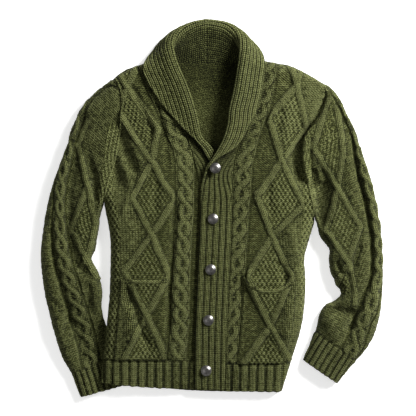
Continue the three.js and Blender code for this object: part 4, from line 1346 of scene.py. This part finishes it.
# the last value is painted light: more on the left collar, which lies towards the lamp
strip_piece("collar_left", STRIP_LEFT, FRONT_LEFT, 1, left_top, 0.22)
strip_piece("collar_right", STRIP_RIGHT, FRONT_RIGHT, -1, right_top, 0.02)


# Buttons: shares of the radius and of the height, from the underside up
BUTTON_SIDES = 40
BUTTON_PROFILE = [
    (0.3, 0.0), (0.7, 0.02), (0.9, 0.14), (0.985, 0.28), (1.0, 0.38), (0.985, 0.48), (0.94, 0.55),
    (0.88, 0.57), (0.84, 0.6), (0.78, 0.72), (0.66, 0.84), (0.5, 0.93), (0.3, 0.985), (0.1, 1.0),
]


def button(number):
    """A domed button with a rim, in the place of the CAD part's."""
    node = f"button_{number}"
    low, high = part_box(node)
    centre = (low + high) / 2
    out, up = np.array(BUTTON_PROFILE).T[:, :, None]
    out, up = out * (high.x - low.x) / 2, up * (high.z - low.z)
    turn = np.arange(BUTTON_SIDES) * 2 * np.pi / BUTTON_SIDES
    x, y = centre.x + out * np.cos(turn), centre.y + out * np.sin(turn)
    points = np.stack([x, y, low.z + up + 0 * turn], -1).reshape(-1, 3)
    walls, _ = grid_faces(len(BUTTON_PROFILE), BUTTON_SIDES, True, 0, OUTER_WALLS, 0, 1)
    bottom, top = range(BUTTON_SIDES - 1, -1, -1), range(len(points) - BUTTON_SIDES, len(points))
    mesh = bpy.data.meshes.new(node)
    mesh.from_pydata(points.tolist(), [], walls.tolist() + [list(bottom), list(top)])
    mesh.shade_smooth()
    mesh.materials.append(metal)
    pieces[node] = added(node + "_dome", mesh)


for number in range(1, 6):
    button(number)


# Stage
floor_mesh = bpy.data.meshes.new("floor")
floor_mesh.from_pydata([(-15, -15, 0), (15, -15, 0), (15, 15, 0), (-15, 15, 0)], [], [(0, 1, 2, 3)])
floor = added("floor", floor_mesh)
floor.location.z = -0.0003
paper, _, paper_shader = nodes_of("pale paper")
set_inputs(paper_shader, {
    "Base Color": (0.86, 0.86, 0.85, 1),
    "Roughness": 0.9,
    "Emission Color": (1, 1, 1, 1),
    "Emission Strength": 0.6,
})
floor_mesh.materials.append(paper)

for name, piece in pieces.items():
    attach(piece, "root")
    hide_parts(name)


def area_light(name, at, size, power):
    """A square lamp that shines on the middle of the floor."""
    light = bpy.data.lights.new(name, "AREA")
    light.shape = "SQUARE"
    light.size = size
    light.energy = power
    lamp = added(name, light)
    lamp.location = at
    lamp.rotation_euler = (-Vector(at)).to_track_quat("-Z", "Y").to_euler()


area_light("key", (1.75, 1.35, 1.45), 0.9, 158)
area_light("fill", (-1.6, -0.6, 2.2), 2.0, 8)
world = bpy.data.worlds.new("studio")
world.use_nodes = True
set_inputs(world.node_tree.nodes["Background"], {"Color": (1, 1, 1, 1), "Strength": 0.19})
bpy.context.scene.world = world
bpy.context.scene.view_settings.view_transform = "Standard"

LENS = 120.0
SENSOR = 36.0
FRAME_WIDTH = 0.8736
MID_HEIGHT = 0.03
camera_data = bpy.data.cameras.new("camera")
camera_data.lens = LENS
camera_data.sensor_width = SENSOR
camera = added("camera", camera_data)
camera.location = (-0.0084, 0.001, MID_HEIGHT + FRAME_WIDTH * LENS / SENSOR)
bpy.context.scene.camera = camera
